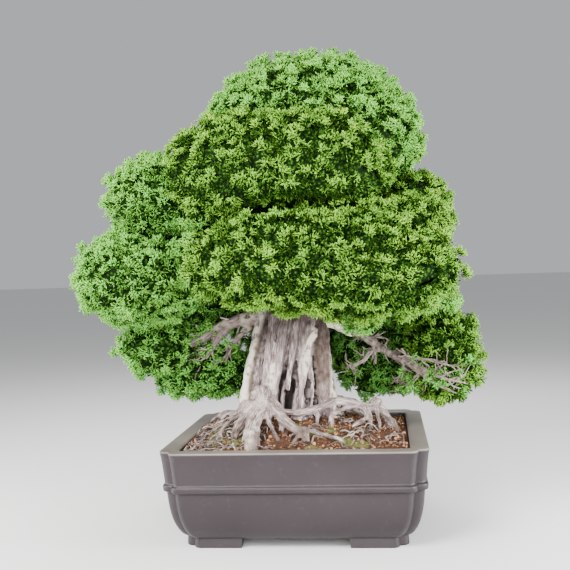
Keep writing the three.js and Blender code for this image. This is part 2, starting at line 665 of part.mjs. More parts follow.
const clearance = joined([trunkSolid(GAP + 0.15), ...upperWood(GAP + 0.15)]).add(
  joined(VEINS.map((s) => limb(s, 8, 9, GAP + 0.15))),
);
let taken = clearance;
Object.entries(PADS).forEach(([name, pad], index) => {
  const skin = padSkin(pad, 101 + 37 * index);
  tree.add(meshOf("foliage_" + name, padSolid(pad, skin).subtract(taken), FOLIAGE));
  taken = taken.add(padSolid(pad, skin, 1.012));
});

const extent = new THREE.Box3().setFromObject(tree);
const middle = extent.getCenter(new THREE.Vector3());
tree.position.set(-middle.x, -middle.y, -extent.min.z);

const bonsai = new THREE.Group();
bonsai.add(tree);

export default bonsai;
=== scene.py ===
"""Dresses an old itoigawa juniper bonsai in its square stoneware pot.

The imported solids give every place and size. Lengths in this file are millimetres from the ground under the
middle of the pot, with the front of the tree looking along -Y, until a mesh is made: then they are metres
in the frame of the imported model. All random draws are seeded.
"""

from __future__ import annotations

import logging
import math
from collections.abc import Iterable, Iterator, Sequence
from dataclasses import astuple, dataclass, field
from enum import Enum
from itertools import combinations

import bpy
import numpy as np
from mathutils import Matrix, Vector
from mathutils.bvhtree import BVHTree

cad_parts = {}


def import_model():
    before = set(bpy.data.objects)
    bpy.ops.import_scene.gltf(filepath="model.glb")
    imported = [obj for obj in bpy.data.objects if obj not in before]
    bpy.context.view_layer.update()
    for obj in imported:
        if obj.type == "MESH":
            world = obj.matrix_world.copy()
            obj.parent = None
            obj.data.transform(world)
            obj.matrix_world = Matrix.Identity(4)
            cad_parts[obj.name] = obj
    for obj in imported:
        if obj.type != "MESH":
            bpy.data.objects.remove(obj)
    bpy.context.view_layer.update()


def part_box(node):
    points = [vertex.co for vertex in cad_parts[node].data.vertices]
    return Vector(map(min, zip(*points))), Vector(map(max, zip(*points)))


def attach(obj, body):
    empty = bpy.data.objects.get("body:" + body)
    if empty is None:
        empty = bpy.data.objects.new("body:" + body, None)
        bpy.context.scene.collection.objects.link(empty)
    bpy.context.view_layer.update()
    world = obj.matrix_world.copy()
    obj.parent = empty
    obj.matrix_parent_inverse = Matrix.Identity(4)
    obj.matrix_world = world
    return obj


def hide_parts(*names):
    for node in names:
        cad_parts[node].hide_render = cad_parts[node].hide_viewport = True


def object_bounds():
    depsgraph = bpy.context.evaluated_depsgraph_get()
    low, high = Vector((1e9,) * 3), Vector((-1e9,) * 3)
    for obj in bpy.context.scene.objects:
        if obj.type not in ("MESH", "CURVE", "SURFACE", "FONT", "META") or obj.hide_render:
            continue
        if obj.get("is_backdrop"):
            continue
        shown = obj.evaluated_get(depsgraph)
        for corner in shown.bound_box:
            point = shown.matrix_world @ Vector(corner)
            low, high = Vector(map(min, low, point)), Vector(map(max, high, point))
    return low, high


log = logging.getLogger("bonsai")

MM = 0.001
WELD = 0.02
BODY = "root"
Array = np.ndarray
Colour = tuple[float, float, float]
Material = bpy.types.Material
Node = bpy.types.Node
Piece = bpy.types.Object
Random = np.random.Generator
Socket = bpy.types.NodeSocket
Stations = Sequence[Sequence[float]]


# Places, random numbers and noise


def pot_centre() -> Array:
    """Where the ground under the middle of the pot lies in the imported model, in millimetres."""
    low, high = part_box("pot")
    return np.array([(low.x + high.x) / 2, (low.y + high.y) / 2, low.z]) / MM


def unit(v: Array) -> Array:
    """Vectors scaled to length 1 along their last axis."""
    return v / np.maximum(np.linalg.norm(v, axis=-1, keepdims=True), 1e-9)


def seeded(seed: int) -> Iterator[float]:
    """A small repeatable source of numbers from 0 to 1.

    Args:
        seed: Where the sequence starts.

    Yields:
        The next number.
    """
    mask = 0xFFFFFFFF
    state = seed & mask
    while True:
        state = (state + 0x6D2B79F5) & mask
        t = ((state ^ (state >> 15)) * (state | 1)) & mask
        t ^= (t + ((t ^ (t >> 7)) * (t | 61))) & mask
        yield ((t ^ (t >> 14)) & mask) / (mask + 1)


class Noise:
    """Smooth repeatable noise over space, between -1 and 1."""

    SIZE = 4096

    def __init__(self, seed: int) -> None:
        """Draws the lattice values from a seed."""
        self.values = np.random.default_rng(seed).uniform(-1, 1, self.SIZE)

    def __call__(self, p: Array) -> Array:
        """Noise at points.

        Args:
            p: Points, shape (n, 3), in units of one lattice cell.

        Returns:
            One value for each point.
        """
        cell = np.floor(p).astype(np.int64)
        f = p - cell
        f = f * f * (3 - 2 * f)
        total = np.zeros(len(p))
        for corner in range(8):
            step = np.array([corner & 1, (corner >> 1) & 1, corner >> 2])
            x, y, z = (cell + step).T
            key = ((x * 73856093) ^ (y * 19349663) ^ (z * 83492791)) & (self.SIZE - 1)
            weight = np.where(step, f, 1 - f).prod(axis=1)
            total += weight * self.values[key]
        return total

    def fractal(self, p: Array, octaves: int = 3, gain: float = 0.5) -> Array:
        """Noise with finer layers on top.

        Args:
            p: Points, shape (n, 3).
            octaves: How many layers.
            gain: How strong each layer is beside the one before.

        Returns:
            One value for each point, about -1 to 1.
        """
        total, weight, scale = np.zeros(len(p)), 0.0, 1.0
        for k in range(octaves):
            total += scale * self(p * 2.0**k + 17.3 * k)
            weight += scale
            scale *= gain
        return total / weight


# Meshes


@dataclass
class Skin:
    """Corner points in millimetres and their triangles, with any values that each corner carries."""

    points: Array
    faces: Array
    values: dict[str, Array] = field(default_factory=dict)

    @staticmethod
    def joined(skins: Sequence[Skin]) -> Skin:
        """Puts several skins together.

        Args:
            skins: The skins, which all carry the first one's kinds of values.

        Returns:
            One skin of them all.
        """
        shift = np.cumsum([0] + [len(s.points) for s in skins[:-1]])
        faces = np.concatenate([s.faces + k for s, k in zip(skins, shift)])
        values = {k: np.concatenate([s.values[k] for s in skins]) for k in skins[0].values}
        return Skin(np.concatenate([s.points for s in skins]), faces, values)

    def object(self, name: str, material: Material) -> Piece:
        """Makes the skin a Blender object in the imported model's frame.

        Args:
            name: The object's name.
            material: Its finish.

        Returns:
            The new object, linked to the scene.
        """
        mesh = bpy.data.meshes.new(name)
        points = (self.points + pot_centre()) * MM
        sides = self.faces.shape[1]
        mesh.vertices.add(len(points))
        mesh.vertices.foreach_set("co", points.astype(np.float32).ravel())
        mesh.loops.add(self.faces.size)
        mesh.loops.foreach_set("vertex_index", self.faces.astype(np.int32).ravel())
        mesh.polygons.add(len(self.faces))
        mesh.polygons.foreach_set("loop_start", np.arange(0, self.faces.size, sides, dtype=np.int32))
        mesh.polygons.foreach_set("use_smooth", np.ones(len(self.faces), bool))
        for key, value in self.values.items():
            kind, item = ("FLOAT_VECTOR", "vector") if value.ndim == 2 else ("FLOAT", "value")
            layer = mesh.attributes.new(key, kind, "POINT")
            layer.data.foreach_set(item, value.astype(np.float32).ravel())
        mesh.update()
        mesh.validate()
        mesh.materials.append(material)
        made = bpy.data.objects.new(name, mesh)
        bpy.context.scene.collection.objects.link(made)
        return made


def loft(rings: Array) -> Skin:
    """Joins rings of equally many points into a closed skin.

    Args:
        rings: Shape (rings, points, 3), each ring anticlockwise as seen from the last ring.

    Returns:
        The skin, with a flat fan at each end.
    """
    count, n = rings.shape[:2]
    points = np.concatenate([rings.reshape(-1, 3), rings[0].mean(0)[None], rings[-1].mean(0)[None]])
    i = np.arange(n)
    j = (i + 1) % n
    k = np.arange(count - 1)[:, None] * n
    a, b, c, d = (k + i).ravel(), (k + j).ravel(), (k + n + j).ravel(), (k + n + i).ravel()
    low, high, last = np.full(n, count * n), np.full(n, count * n + 1), (count - 1) * n
    faces = [
        np.stack([a, b, c], 1),
        np.stack([a, c, d], 1),
        np.stack([low, j, i], 1),
        np.stack([high, last + i, last + j], 1),
    ]
    return Skin(points, np.concatenate(faces))


def spindles(start: Array, end: Array, radius: Array) -> Skin:
    """Thin three-sided spindles, pointed at both ends.

    Args:
        start: Where each begins, shape (n, 3).
        end: Where each ends, shape (n, 3).
        radius: The greatest radius of each.

    Returns:
        One skin of them all, five points to a spindle: start, three round it, end.
    """
    along = unit(end - start)
    ref = np.where(np.abs(along[:, 2:]) < 0.9, [[0.0, 0.0, 1.0]], [[1.0, 0.0, 0.0]])
    u = unit(np.cross(along, ref))
    v = np.cross(along, u)
    middle = start + 0.6 * (end - start)
    turns = [2 * math.pi * k / 3 for k in range(3)]
    ring = [middle + radius[:, None] * (u * math.cos(a) + v * math.sin(a)) for a in turns]
    points = np.stack([start, *ring, end], axis=1).reshape(-1, 3)
    one = np.array([[0, 2, 1], [0, 3, 2], [0, 1, 3], [4, 1, 2], [4, 2, 3], [4, 3, 1]])
    faces = (one[None] + 5 * np.arange(len(start))[:, None, None]).reshape(-1, 3)
    return Skin(points, faces)


def evaluated_skin(obj: Piece) -> Skin:
    """Applies an object's modifiers and takes its mesh out as a skin of triangles in millimetres.

    Args:
        obj: The object, which is removed afterwards.

    Returns:
        The skin, measured from the ground under the middle of the pot.
    """
    graph = bpy.context.evaluated_depsgraph_get()
    mesh = bpy.data.meshes.new_from_object(obj.evaluated_get(graph))
    mesh.calc_loop_triangles()
    points = np.empty(len(mesh.vertices) * 3, np.float32)
    mesh.vertices.foreach_get("co", points)
    faces = np.empty(len(mesh.loop_triangles) * 3, np.int32)
    mesh.loop_triangles.foreach_get("vertices", faces)
    old = obj.data
    bpy.data.objects.remove(obj)
    bpy.data.meshes.remove(old)
    bpy.data.meshes.remove(mesh)
    return Skin(points.reshape(-1, 3).astype(float) / MM - pot_centre(), faces.reshape(-1, 3))


def corner_normals(skin: Skin) -> Array:
    """The outward direction at each corner of a closed skin.

    Args:
        skin: The skin.

    Returns:
        Directions of length 1, shape (n, 3).
    """
    a, b, c = (skin.points[skin.faces[:, k]] for k in range(3))
    normal = np.cross(b - a, c - a)
    total = np.zeros_like(skin.points)
    for k in range(3):
        np.add.at(total, skin.faces[:, k], normal)
    return unit(total)


def smoothed(skin: Skin, rounds: int) -> Skin:
    """Evens out a skin by moving each corner halfway to the middle of its neighbours.

    Args:
        skin: The skin.
        rounds: How often.

    Returns:
        The evened skin.
    """
    points = skin.points.copy()
    edges = np.concatenate([skin.faces[:, [0, 1]], skin.faces[:, [1, 2]], skin.faces[:, [2, 0]]])
    count = np.bincount(edges[:, 0], minlength=len(points))[:, None]
    for _ in range(rounds):
        total = np.zeros_like(points)
        for axis in range(3):
            total[:, axis] = np.bincount(edges[:, 0], points[edges[:, 1], axis], len(points))
        points += 0.5 * (total / np.maximum(count, 1) - points)
    return Skin(points, skin.faces)


# Shader parts


class Graph:
    """A short way to lay and link shader nodes in a material's or a group's tree."""

    def __init__(self, tree: bpy.types.NodeTree) -> None:
        """Starts with an empty tree."""
        self.tree = tree
        tree.nodes.clear()

    def node(self, kind: str, **settings: object) -> Node:
        """Lays a new node.

        Args:
            kind: Blender's name for the kind, such as ShaderNodeMath.
            **settings: The node's own settings.

        Returns:
            The node.
        """
        made = self.tree.nodes.new(kind)
        for key, value in settings.items():
            setattr(made, key, value)
        return made

    def feed(self, socket: Socket, value: object) -> None:
        """Links an output to an input, or sets a constant on it.

        Args:
            socket: The input.
            value: The output to link from, or the constant.
        """
        if isinstance(value, Socket):
            self.tree.links.new(value, socket)
        else:
            socket.default_value = value

    def set(self, node: Node, **values: object) -> Node:
        """Feeds inputs of a node.

        Args:
            node: The node.
            **values: A constant or an output for each input, by its name with _ for a space.

        Returns:
            The same node.
        """
        for key, value in values.items():
            self.feed(node.inputs[key.replace("_", " ")], value)
        return node

    def noise(self, vector: Socket, scale: float, detail: float) -> Socket:
        """The value of a noise texture over a coordinate."""
        made = self.node("ShaderNodeTexNoise")
        return self.set(made, Vector=vector, Scale=scale, Detail=detail).outputs["Fac"]

    def ramp(self, value: Socket, *stops: tuple[float, Colour | float]) -> Socket:
        """A colour ramp over a value.

        Args:
            value: The value.
            *stops: A place and a colour each, or a place and a grey.

        Returns:
            The colour.
        """
        made = self.node("ShaderNodeValToRGB")
        line = made.color_ramp.elements
        while len(line) < len(stops):
            line.new(0.5)
        for element, (place, colour) in zip(line, stops):
            element.position = place
            element.color = (*colour, 1) if isinstance(colour, tuple) else (colour, colour, colour, 1)
        self.feed(made.inputs["Fac"], value)
        return made.outputs["Color"]

    def mix(self, share: Socket | float, a: Socket | Colour, b: Socket | Colour) -> Socket:
        """Two colours mixed by a share.

        Args:
            share: How much of the second.
            a: The first colour.
            b: The second colour.

        Returns:
            The mixed colour.
        """
        made = self.node("ShaderNodeMix", data_type="RGBA")
        for place, value in ((0, share), (6, a), (7, b)):
            self.feed(made.inputs[place], (*value, 1) if isinstance(value, tuple) else value)
        return made.outputs[2]

    def math(self, how: str, *values: Socket | float) -> Socket:
        """A sum, clamped to 0 to 1.

        Args:
            how: Blender's name for it.
            *values: What goes into it.

        Returns:
            The result.
        """
        made = self.node("ShaderNodeMath", operation=how, use_clamp=True)
        for socket, value in zip(made.inputs, values):
            self.feed(socket, value)
        return made.outputs[0]

    def fitted(self, value: Socket, *ends: float) -> Socket:
        """Fits one range of a value to another, clamped: the ends that it has, then those that it gets."""
        ranges = dict(zip(("From_Min", "From_Max", "To_Min", "To_Max"), ends))
        return self.set(self.node("ShaderNodeMapRange"), Value=value, **ranges).outputs[0]

    def parts(self, vector: Socket) -> Sequence[Socket]:
        """The X, Y and Z of a vector."""
        return self.set(self.node("ShaderNodeSeparateXYZ"), Vector=vector).outputs

    def place(self) -> Socket:
        """The coordinate in metres over the piece."""
        return self.node("ShaderNodeTexCoord").outputs["Object"]

    def carried(self, name: str) -> Node:
        """Reads the values that a mesh carries under a name."""
        return self.node("ShaderNodeAttribute", attribute_name=name)


def mottle_group() -> bpy.types.NodeTree:
    """The shader group that breaks up an even colour.

    Its inputs are a coordinate in metres and the size of a patch in metres. It puts out broad clouds, fine
    grain and sparse specks, each from 0 to 1.

    Returns:
        The group, made on the first call.
    """
    name = "Mottle"
    if name in bpy.data.node_groups:
        return bpy.data.node_groups[name]
    tree = bpy.data.node_groups.new(name, "ShaderNodeTree")
    tree.interface.new_socket("Coordinate", in_out="INPUT", socket_type="NodeSocketVector")
    tree.interface.new_socket("Patch", in_out="INPUT", socket_type="NodeSocketFloat")
    for out in ("Clouds", "Grain", "Specks"):
        tree.interface.new_socket(out, in_out="OUTPUT", socket_type="NodeSocketFloat")
    g = Graph(tree)
    inside = g.node("NodeGroupInput")
    outside = g.node("NodeGroupOutput")
    patch = g.node("ShaderNodeCombineXYZ")
    for socket in patch.inputs:
        g.feed(socket, inside.outputs["Patch"])
    divide = g.node("ShaderNodeVectorMath", operation="DIVIDE")
    g.feed(divide.inputs[0], inside.outputs["Coordinate"])
    g.feed(divide.inputs[1], patch.outputs[0])
    scaled = divide.outputs[0]
    clouds, grain = g.noise(scaled, 1.0, 4.0), g.noise(scaled, 14.0, 3.0)
    specks = g.set(g.node("ShaderNodeTexVoronoi"), Vector=scaled, Scale=9.0)
    near = g.fitted(specks.outputs["Distance"], 0.08, 0.2, 1.0, 0.0)
    g.set(outside, Clouds=clouds, Grain=grain, Specks=near)
    return tree


@dataclass(frozen=True)
class Finish:
    """What every finish shares: its name, its sheen and how strong its relief is."""

    name: str
    roughness: float
    relief: float

    def build(self) -> Material:
        """Makes the material.

        Returns:
            The material.
        """
        material = bpy.data.materials.new(self.name)
        material.use_nodes = True
        g = Graph(material.node_tree)
        shader = g.set(g.node("ShaderNodeBsdfPrincipled"), Roughness=self.roughness)
        g.set(g.node("ShaderNodeOutputMaterial"), Surface=shader.outputs[0])
        self.dress(g, shader)
        return material

    def dress(self, g: Graph, shader: Node) -> None:
        """Lays what is the finish's own: its colours, its sheen and its relief.

        Args:
            g: The material's graph.
            shader: Its Principled shader.
        """
        raise NotImplementedError

    def mottle(self, g: Graph, coordinate: Socket, patch: float) -> Sequence[Socket]:
        """Places the mottle group with a size of patch in metres: its clouds, grain and specks."""
        made = g.node("ShaderNodeGroup", node_tree=mottle_group())
        return g.set(made, Coordinate=coordinate, Patch=patch).outputs

    def raise_relief(self, g: Graph, shader: Node, height: Socket, depth: float) -> None:
        """Feeds a height through a bump into the shader's normal.

        Args:
            g: The material's graph.
            shader: Its Principled shader.
            height: The height, 0 to 1.
            depth: The real depth of the relief in metres.
        """
        bump = g.set(g.node("ShaderNodeBump"), Strength=self.relief, Distance=depth, Height=height)
        g.set(shader, Normal=bump.outputs[0])


@dataclass(frozen=True)
class Stoneware(Finish):
    """Unglazed grey-brown stoneware with a soft sheen. The top of the rim is paler, partly from wear and
    partly as painted light from above.
    """

    body: Colour = (0.0135, 0.0092, 0.0118)
    warm: Colour = (0.033, 0.024, 0.0265)
    dark: Colour = (0.0072, 0.005, 0.0068)
    speck: Colour = (0.05, 0.043, 0.042)
    # The paler top of the rim: partly wear, partly painted light from above.
    rim: Colour = (0.25, 0.222, 0.19)
    rim_z: float = 0.1445
    rim_blend: float = 0.002

    def dress(self, g: Graph, shader: Node) -> None:
        """Lays the colours, the sheen and the relief."""
        place = g.place()
        clouds, stains, _ = self.mottle(g, place, 0.11)
        _, grain, specks = self.mottle(g, place, 0.012)
        colour = g.mix(0.5, g.mix(clouds, self.dark, self.warm), self.body)
        colour = g.mix(g.math("MULTIPLY", specks, 0.3), colour, self.speck)
        colour = g.mix(g.ramp(stains, (0.6, 0.0), (0.8, 0.3)), colour, self.speck)
        # Painted light: the top face of the rim is mixed toward the paler rim colour, partly wear and partly
        # the light that falls on it from above.
        top = g.fitted(g.parts(place)[2], self.rim_z, self.rim_z + self.rim_blend)
        colour = g.mix(top, colour, g.mix(clouds, self.rim, self.warm))
        rough = g.fitted(grain, 0.0, 1.0, self.roughness - 0.08, self.roughness + 0.12)
        g.set(shader, Base_Color=colour, Roughness=rough, Specular_IOR_Level=0.28)
        self.raise_relief(g, shader, grain, 0.0006)


@dataclass(frozen=True)
class Crumb(Finish):
    """Soil and its granules: each carries a tone from 0, dark, to 1, pale."""

    stops: tuple[tuple[float, Colour], ...] = (
        (0.0, (0.012, 0.007, 0.005)),
        (0.35, (0.06, 0.026, 0.014)),
        (0.68, (0.19, 0.078, 0.036)),
        (1.0, (0.42, 0.24, 0.13)),
    )
    moss: Colour = (0.1, 0.13, 0.03)

    def dress(self, g: Graph, shader: Node) -> None:
        """Lays the colours, the sheen and the relief."""
        _, grain, _ = self.mottle(g, g.place(), 0.005)
        tone, green = g.carried("tone").outputs["Fac"], g.carried("moss").outputs["Fac"]
        colour = g.ramp(g.math("ADD", tone, g.math("MULTIPLY_ADD", grain, 0.5, -0.25)), *self.stops)
        g.set(shader, Base_Color=g.mix(green, colour, self.moss), Specular_IOR_Level=0.2)
        self.raise_relief(g, shader, grain, 0.0012)


@dataclass(frozen=True)
class Wood(Finish):
    """Weathered wood with thin bark on its live veins.

    A mesh carries grain coordinates, and a vector named marks: how much bark, how much painted shade (in
    clefts, slits, grooves and hollows and under the crown; on the thin strands a darker tone), and how pale
    it is, with lichen, bleached wood and partly painted highlight.
    """

    silver: Colour = (0.242, 0.186, 0.178)
    pale: Colour = (0.56, 0.475, 0.46)
    shade: Colour = (0.038, 0.024, 0.021)
    bark: Colour = (0.115, 0.078, 0.058)
    bark_dark: Colour = (0.034, 0.02, 0.014)
    lichen: Colour = (0.66, 0.61, 0.5)
    # The near-black of the painted shade in clefts, slits, grooves and hollows.
    cleft_shade: Colour = (0.004, 0.003, 0.0025)

    def dress(self, g: Graph, shader: Node) -> None:
        """Lays the colours, the sheen and the relief."""
        grain = g.carried("grain").outputs["Vector"]
        bark, deep, pale = g.parts(g.carried("marks").outputs["Vector"])
        streaks, lines, broad = g.noise(grain, 0.55, 5.0), g.noise(grain, 1.6, 4.0), g.noise(grain, 0.13, 3.0)
        clouds, flakes, _ = self.mottle(g, g.place(), 0.009)
        wood = g.ramp(streaks, (0.32, self.shade), (0.49, self.silver), (0.65, self.pale))
        calm = g.math("MULTIPLY", g.ramp(broad, (0.35, 0.0), (0.65, 1.0)), 0.32)
        wood = g.mix(calm, wood, self.silver)
        crust = g.ramp(clouds, (0.32, self.bark_dark), (0.55, self.bark), (0.75, self.silver))
        colour = g.mix(bark, wood, g.mix(0.22, crust, g.mix(0.6, wood, self.bark)))
        patchy = g.math("MULTIPLY", pale, g.ramp(clouds, (0.36, 0.04), (0.5, 0.9)))
        # Painted shade: the second mark darkens the wood toward near-black.
        colour = g.mix(deep, g.mix(patchy, colour, self.lichen), self.cleft_shade)
        g.set(shader, Base_Color=colour, Specular_IOR_Level=0.12)
        self.raise_relief(g, shader, g.mix(bark, g.mix(0.5, streaks, lines), flakes), 0.0034)


@dataclass(frozen=True)
class Foliage(Finish):
    """Scale leaves: a mesh carries a vector named leaf, with how far out, how fresh and how cool it is; how
    far out also sets the painted shade.
    """

    # deep, low and shaded are greens of painted shade; leaf and tip are the lit greens, the tips lighter
    # partly as painted light.
    deep: Colour = (0.003, 0.008, 0.002)
    low: Colour = (0.014, 0.046, 0.004)
    shaded: Colour = (0.05, 0.15, 0.014)
    leaf: Colour = (0.14, 0.355, 0.042)
    tip: Colour = (0.21, 0.48, 0.055)
    fresh: Colour = (0.37, 0.53, 0.035)
    cool: Colour = (0.14, 0.58, 0.14)
    cells: float = 190.0

    def dress(self, g: Graph, shader: Node) -> None:
        """Lays plain cords, painted darker the further in they lie, and a pattern of leafy cells in painted
        shade on the core under them.
        """
        place = g.place()
        out, fresh, cool = g.parts(g.carried("leaf").outputs["Vector"])
        _, scales, _ = self.mottle(g, place, 0.004)
        # Painted shade: the lower how far out is, the darker the green, down to near-black.
        colour = g.ramp(out, (0.0, self.deep), (0.35, self.low), (0.7, self.leaf), (1.0, self.tip))
        high = g.math("POWER", out, 3.0)
        for share, strength, tint in ((fresh, 0.6, self.fresh), (cool, 0.7, self.cool)):
            colour = g.mix(g.math("MULTIPLY", g.math("MULTIPLY", share, high), strength), colour, tint)
        colour = g.mix(g.math("MULTIPLY", scales, 0.3), colour, g.mix(0.6, colour, self.low))
        # The core is painted as leaves in shade: cells of shaded green that darken to near-black between
        # them.
        inner = g.fitted(out, 0.12, 0.2, 1.0, 0.0)
        cells = g.set(g.node("ShaderNodeTexVoronoi"), Vector=place, Scale=self.cells)
        gap = g.math("SUBTRACT", 1.0, g.math("MULTIPLY", cells.outputs["Distance"], 1.25))
        leafy = g.ramp(gap, (0.3, self.deep), (0.62, self.low), (0.95, self.shaded))
        g.set(shader, Base_Color=g.mix(inner, colour, leafy), Specular_IOR_Level=0.012)
        self.raise_relief(g, shader, g.mix(inner, scales, gap), 0.002)


@dataclass(frozen=True)
class Plain(Finish):
    """An even finish with faint clouds, for the drain screens and the floor."""

    colour: Colour
    patch: float = 0.02
    change: float = 0.1

    def dress(self, g: Graph, shader: Node) -> None:
        """Lays the colours, the sheen and the relief."""
        clouds, grain, _ = self.mottle(g, g.place(), self.patch)
        darker = tuple(c * (1 - self.change) for c in self.colour)
        g.set(shader, Base_Color=g.mix(clouds, self.colour, darker))
        self.raise_relief(g, shader, grain, 0.0002)


# The pot


@dataclass
class Pot:
    """The square stoneware pot: lobed corners, belt, inward lip, four corner feet and two drain holes."""

    finish: Material
    half: float = 200.0
    height: float = 148.0
    foot_height: float = 15.0
    foot_half: float = 167.5
    foot_wall: float = 21.0
    gap_half: float = 82.0
    gap_slope: float = 3.0
    rim_width: float = 28.0
    belt_z: float = 92.0
    belt_rise: float = 3.4
    floor_top: float = 29.0
    notch: float = 16.0
    lobe: float = 13.0
    inner_corner: float = 14.0
    drain_r: float = 17.0
    drain_x: float = 88.0
    arc_steps: int = 9
    flat_steps: int = 10
    round_steps: int = 5
    drain_steps: int = 40
    share_rounded: float = 0.48
    inside_from: int = 13
    sharp_edge: float = 34.0

    def outline(self, corner: Array, z: float) -> Array:
        """Turns the front right corner round to all four, with the flats between them divided.

        Args:
            corner: The corner's x and y, shape (n, 2).
            z: The height.

        Returns:
            One ring of points.
        """
        turns = [corner, corner[:, ::-1] * [-1, 1], -corner, corner[:, ::-1] * [1, -1]]
        ring = []
        for k, now in enumerate(turns):
            then = turns[(k + 1) % 4][0]
            ring.append(now)
            steps = np.linspace(0, 1, self.flat_steps + 1)[1:-1, None]
            ring.append(now[-1] + (then - now[-1]) * steps)
        flat = np.concatenate(ring)
        return np.column_stack([flat, np.full(len(flat), z)])

    def outside(self, half: float, z: float) -> Array:
        """The outside plan: two round lobes that meet in a crease at each corner.

        Args:
            half: Half its width.
            z: The height.

        Returns:
            One ring of points.
        """
        scale = half / self.half
        notch, lobe = self.notch * scale, self.lobe * scale
        a = np.linspace(0, math.pi / 2, self.arc_steps)
        first = np.column_stack([half - notch - lobe + lobe * np.sin(a), -half + notch * (1 - np.cos(a))])
        second = -first[:-1][::-1, ::-1]
        return self.outline(np.concatenate([first, second]), z)

    def inside(self, half: float, z: float, radius: float) -> Array:
        """The inside plan: plain round corners, of as many points as the outside.

        Args:
            half: Half its width.
            z: The height.
            radius: The rounding of its corners.

        Returns:
            One ring of points.
        """
        a = np.linspace(-math.pi / 2, 0, 2 * self.arc_steps - 1)
        corner = np.column_stack([half - radius + radius * np.cos(a), -half + radius + radius * np.sin(a)])
        return self.outline(corner, z)

    def rounded(self, profile: Sequence[tuple[float, float, float]]) -> list[tuple[float, float]]:
        """Rounds the corners of a profile.

        Args:
            profile: Height, half width and rounding at each corner.

        Returns:
            Heights and half widths along the rounded profile.
        """
        points = np.array([p[:2] for p in profile])
        made = [tuple(points[0])]
        for k in range(1, len(points) - 1):
            before, here, after = points[k - 1 : k + 2]
            reach = profile[k][2]
            if reach <= 0:
                made.append(tuple(here))
                continue
            enter, leave = (
                here + unit(end - here) * min(reach, self.share_rounded * np.linalg.norm(end - here))
                for end in (before, after)
            )
            for t in np.linspace(0, 1, self.round_steps):
                made.append(tuple((1 - t) ** 2 * enter + 2 * t * (1 - t) * here + t * t * leave))
        made.append(tuple(points[-1]))
        return made

    def body(self) -> Skin:
        """The shell from the foot of the wall over the rim and down to the floor.

        Returns:
            The closed skin.
        """
        lip = self.half - self.rim_width
        top, belt = self.height, self.belt_z
        wall = [
            (self.foot_height, 166.5, 0),
            (self.foot_height, 169, 2),
            (self.foot_height + 4, 174, 5),
            (32, 182, 12),
            (50, 187.5, 14),
            (70, 190.5, 14),
            (belt - 6, 192, 2.2),
            (belt - 4.2, 193 + self.belt_rise, 2.2),
            (belt + 4.2, 193.6 + self.belt_rise, 2.6),
            (belt + 6.5, 194, 2.4),
            (top - 14, 197.5, 10),
            (top - 0.2, self.half, 2.6),
            (top, self.half - 4, 2.6),
            (top - 0.2, lip + 3, 2.2),
            (top - 2, lip, 2.2),
            (top - 12, lip, 1.5),
            (top - 19, lip + 9, 6),
            (70, lip + 5, 12),
            (40, lip - 8, 12),
            (self.floor_top, lip - 20, 0),
        ]
        outer = self.rounded(wall[: self.inside_from + 1])
        inner = self.rounded(wall[self.inside_from - 1 :])[1:]
        rings = [self.outside(half, z) for z, half in outer[:-1]]
        rings += [self.inside(half, z, self.inner_corner) for z, half in inner]
        return loft(np.array(rings))

    def feet(self) -> Skin:
        """The square block that the four feet are cut from.

        Returns:
            The closed skin.
        """
        wide, top = self.foot_half, self.foot_height + 1.5
        profile = self.rounded([(0.6, wide - 14, 0), (0, wide - 3, 2), (0, wide, 2.5), (top, wide - 1, 0)])
        return loft(np.array([self.outside(half, z) for z, half in profile]))

    def cut(self, skin: Skin, tools: Iterable[Skin]) -> Skin:
        """Cuts tools out of a skin.

        Args:
            skin: What is cut.
            tools: What is cut away.

        Returns:
            What is left.
        """
        work = skin.object("work", self.finish)
        cutters = [tool.object("cutter", self.finish) for tool in tools]
        for cutter in cutters:
            modifier = work.modifiers.new("cut", "BOOLEAN")
            modifier.operation, modifier.solver, modifier.object = "DIFFERENCE", "EXACT", cutter
        left = evaluated_skin(work)
        for cutter in cutters:
            bpy.data.objects.remove(cutter)
        return left

    def way(self, half_x: float, half_y: float) -> Skin:
        """The block that leaves a way through between the feet, with sides that lean in.

        Args:
            half_x: Half its size across.
            half_y: Half its size from front to back.

        Returns:
            The closed skin.
        """
        rings = []
        for z, inset in ((-3.0, 0.0), (self.foot_height + 4, self.gap_slope)):
            x, y = half_x - inset, half_y - inset
            rings.append([(-x, -y, z), (x, -y, z), (x, y, z), (-x, y, z)])
        return loft(np.array(rings))

    def build(self) -> Piece:
        """Makes the pot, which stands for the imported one.

        Returns:
            The piece.
        """
        far, hollow = 1.3 * self.half, self.foot_half - self.foot_wall
        ring = [self.inside(hollow, -3, 20), self.inside(hollow - 1, self.foot_height + 4, 20)]
        ways = [self.way(self.gap_half, far), self.way(far, self.gap_half)]
        feet = self.cut(self.feet(), [loft(np.array(ring)), *ways])
        drills = []
        a = np.linspace(0, 2 * math.pi, self.drain_steps + 1)[:-1]
        for x in (-self.drain_x, self.drain_x):
            circle = np.column_stack([x + self.drain_r * np.cos(a), self.drain_r * np.sin(a)])
            ends = [np.column_stack([circle, np.full(len(a), z)]) for z in (0.0, 2 * self.floor_top)]
            drills.append(loft(np.array(ends)))
        body = self.cut(self.body(), drills)
        made = Skin.joined([body, feet]).object("pot_shell", self.finish)
        made.data.set_sharp_from_angle(angle=math.radians(self.sharp_edge))
        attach(made, BODY)
        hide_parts("pot")
        return made


# The soil


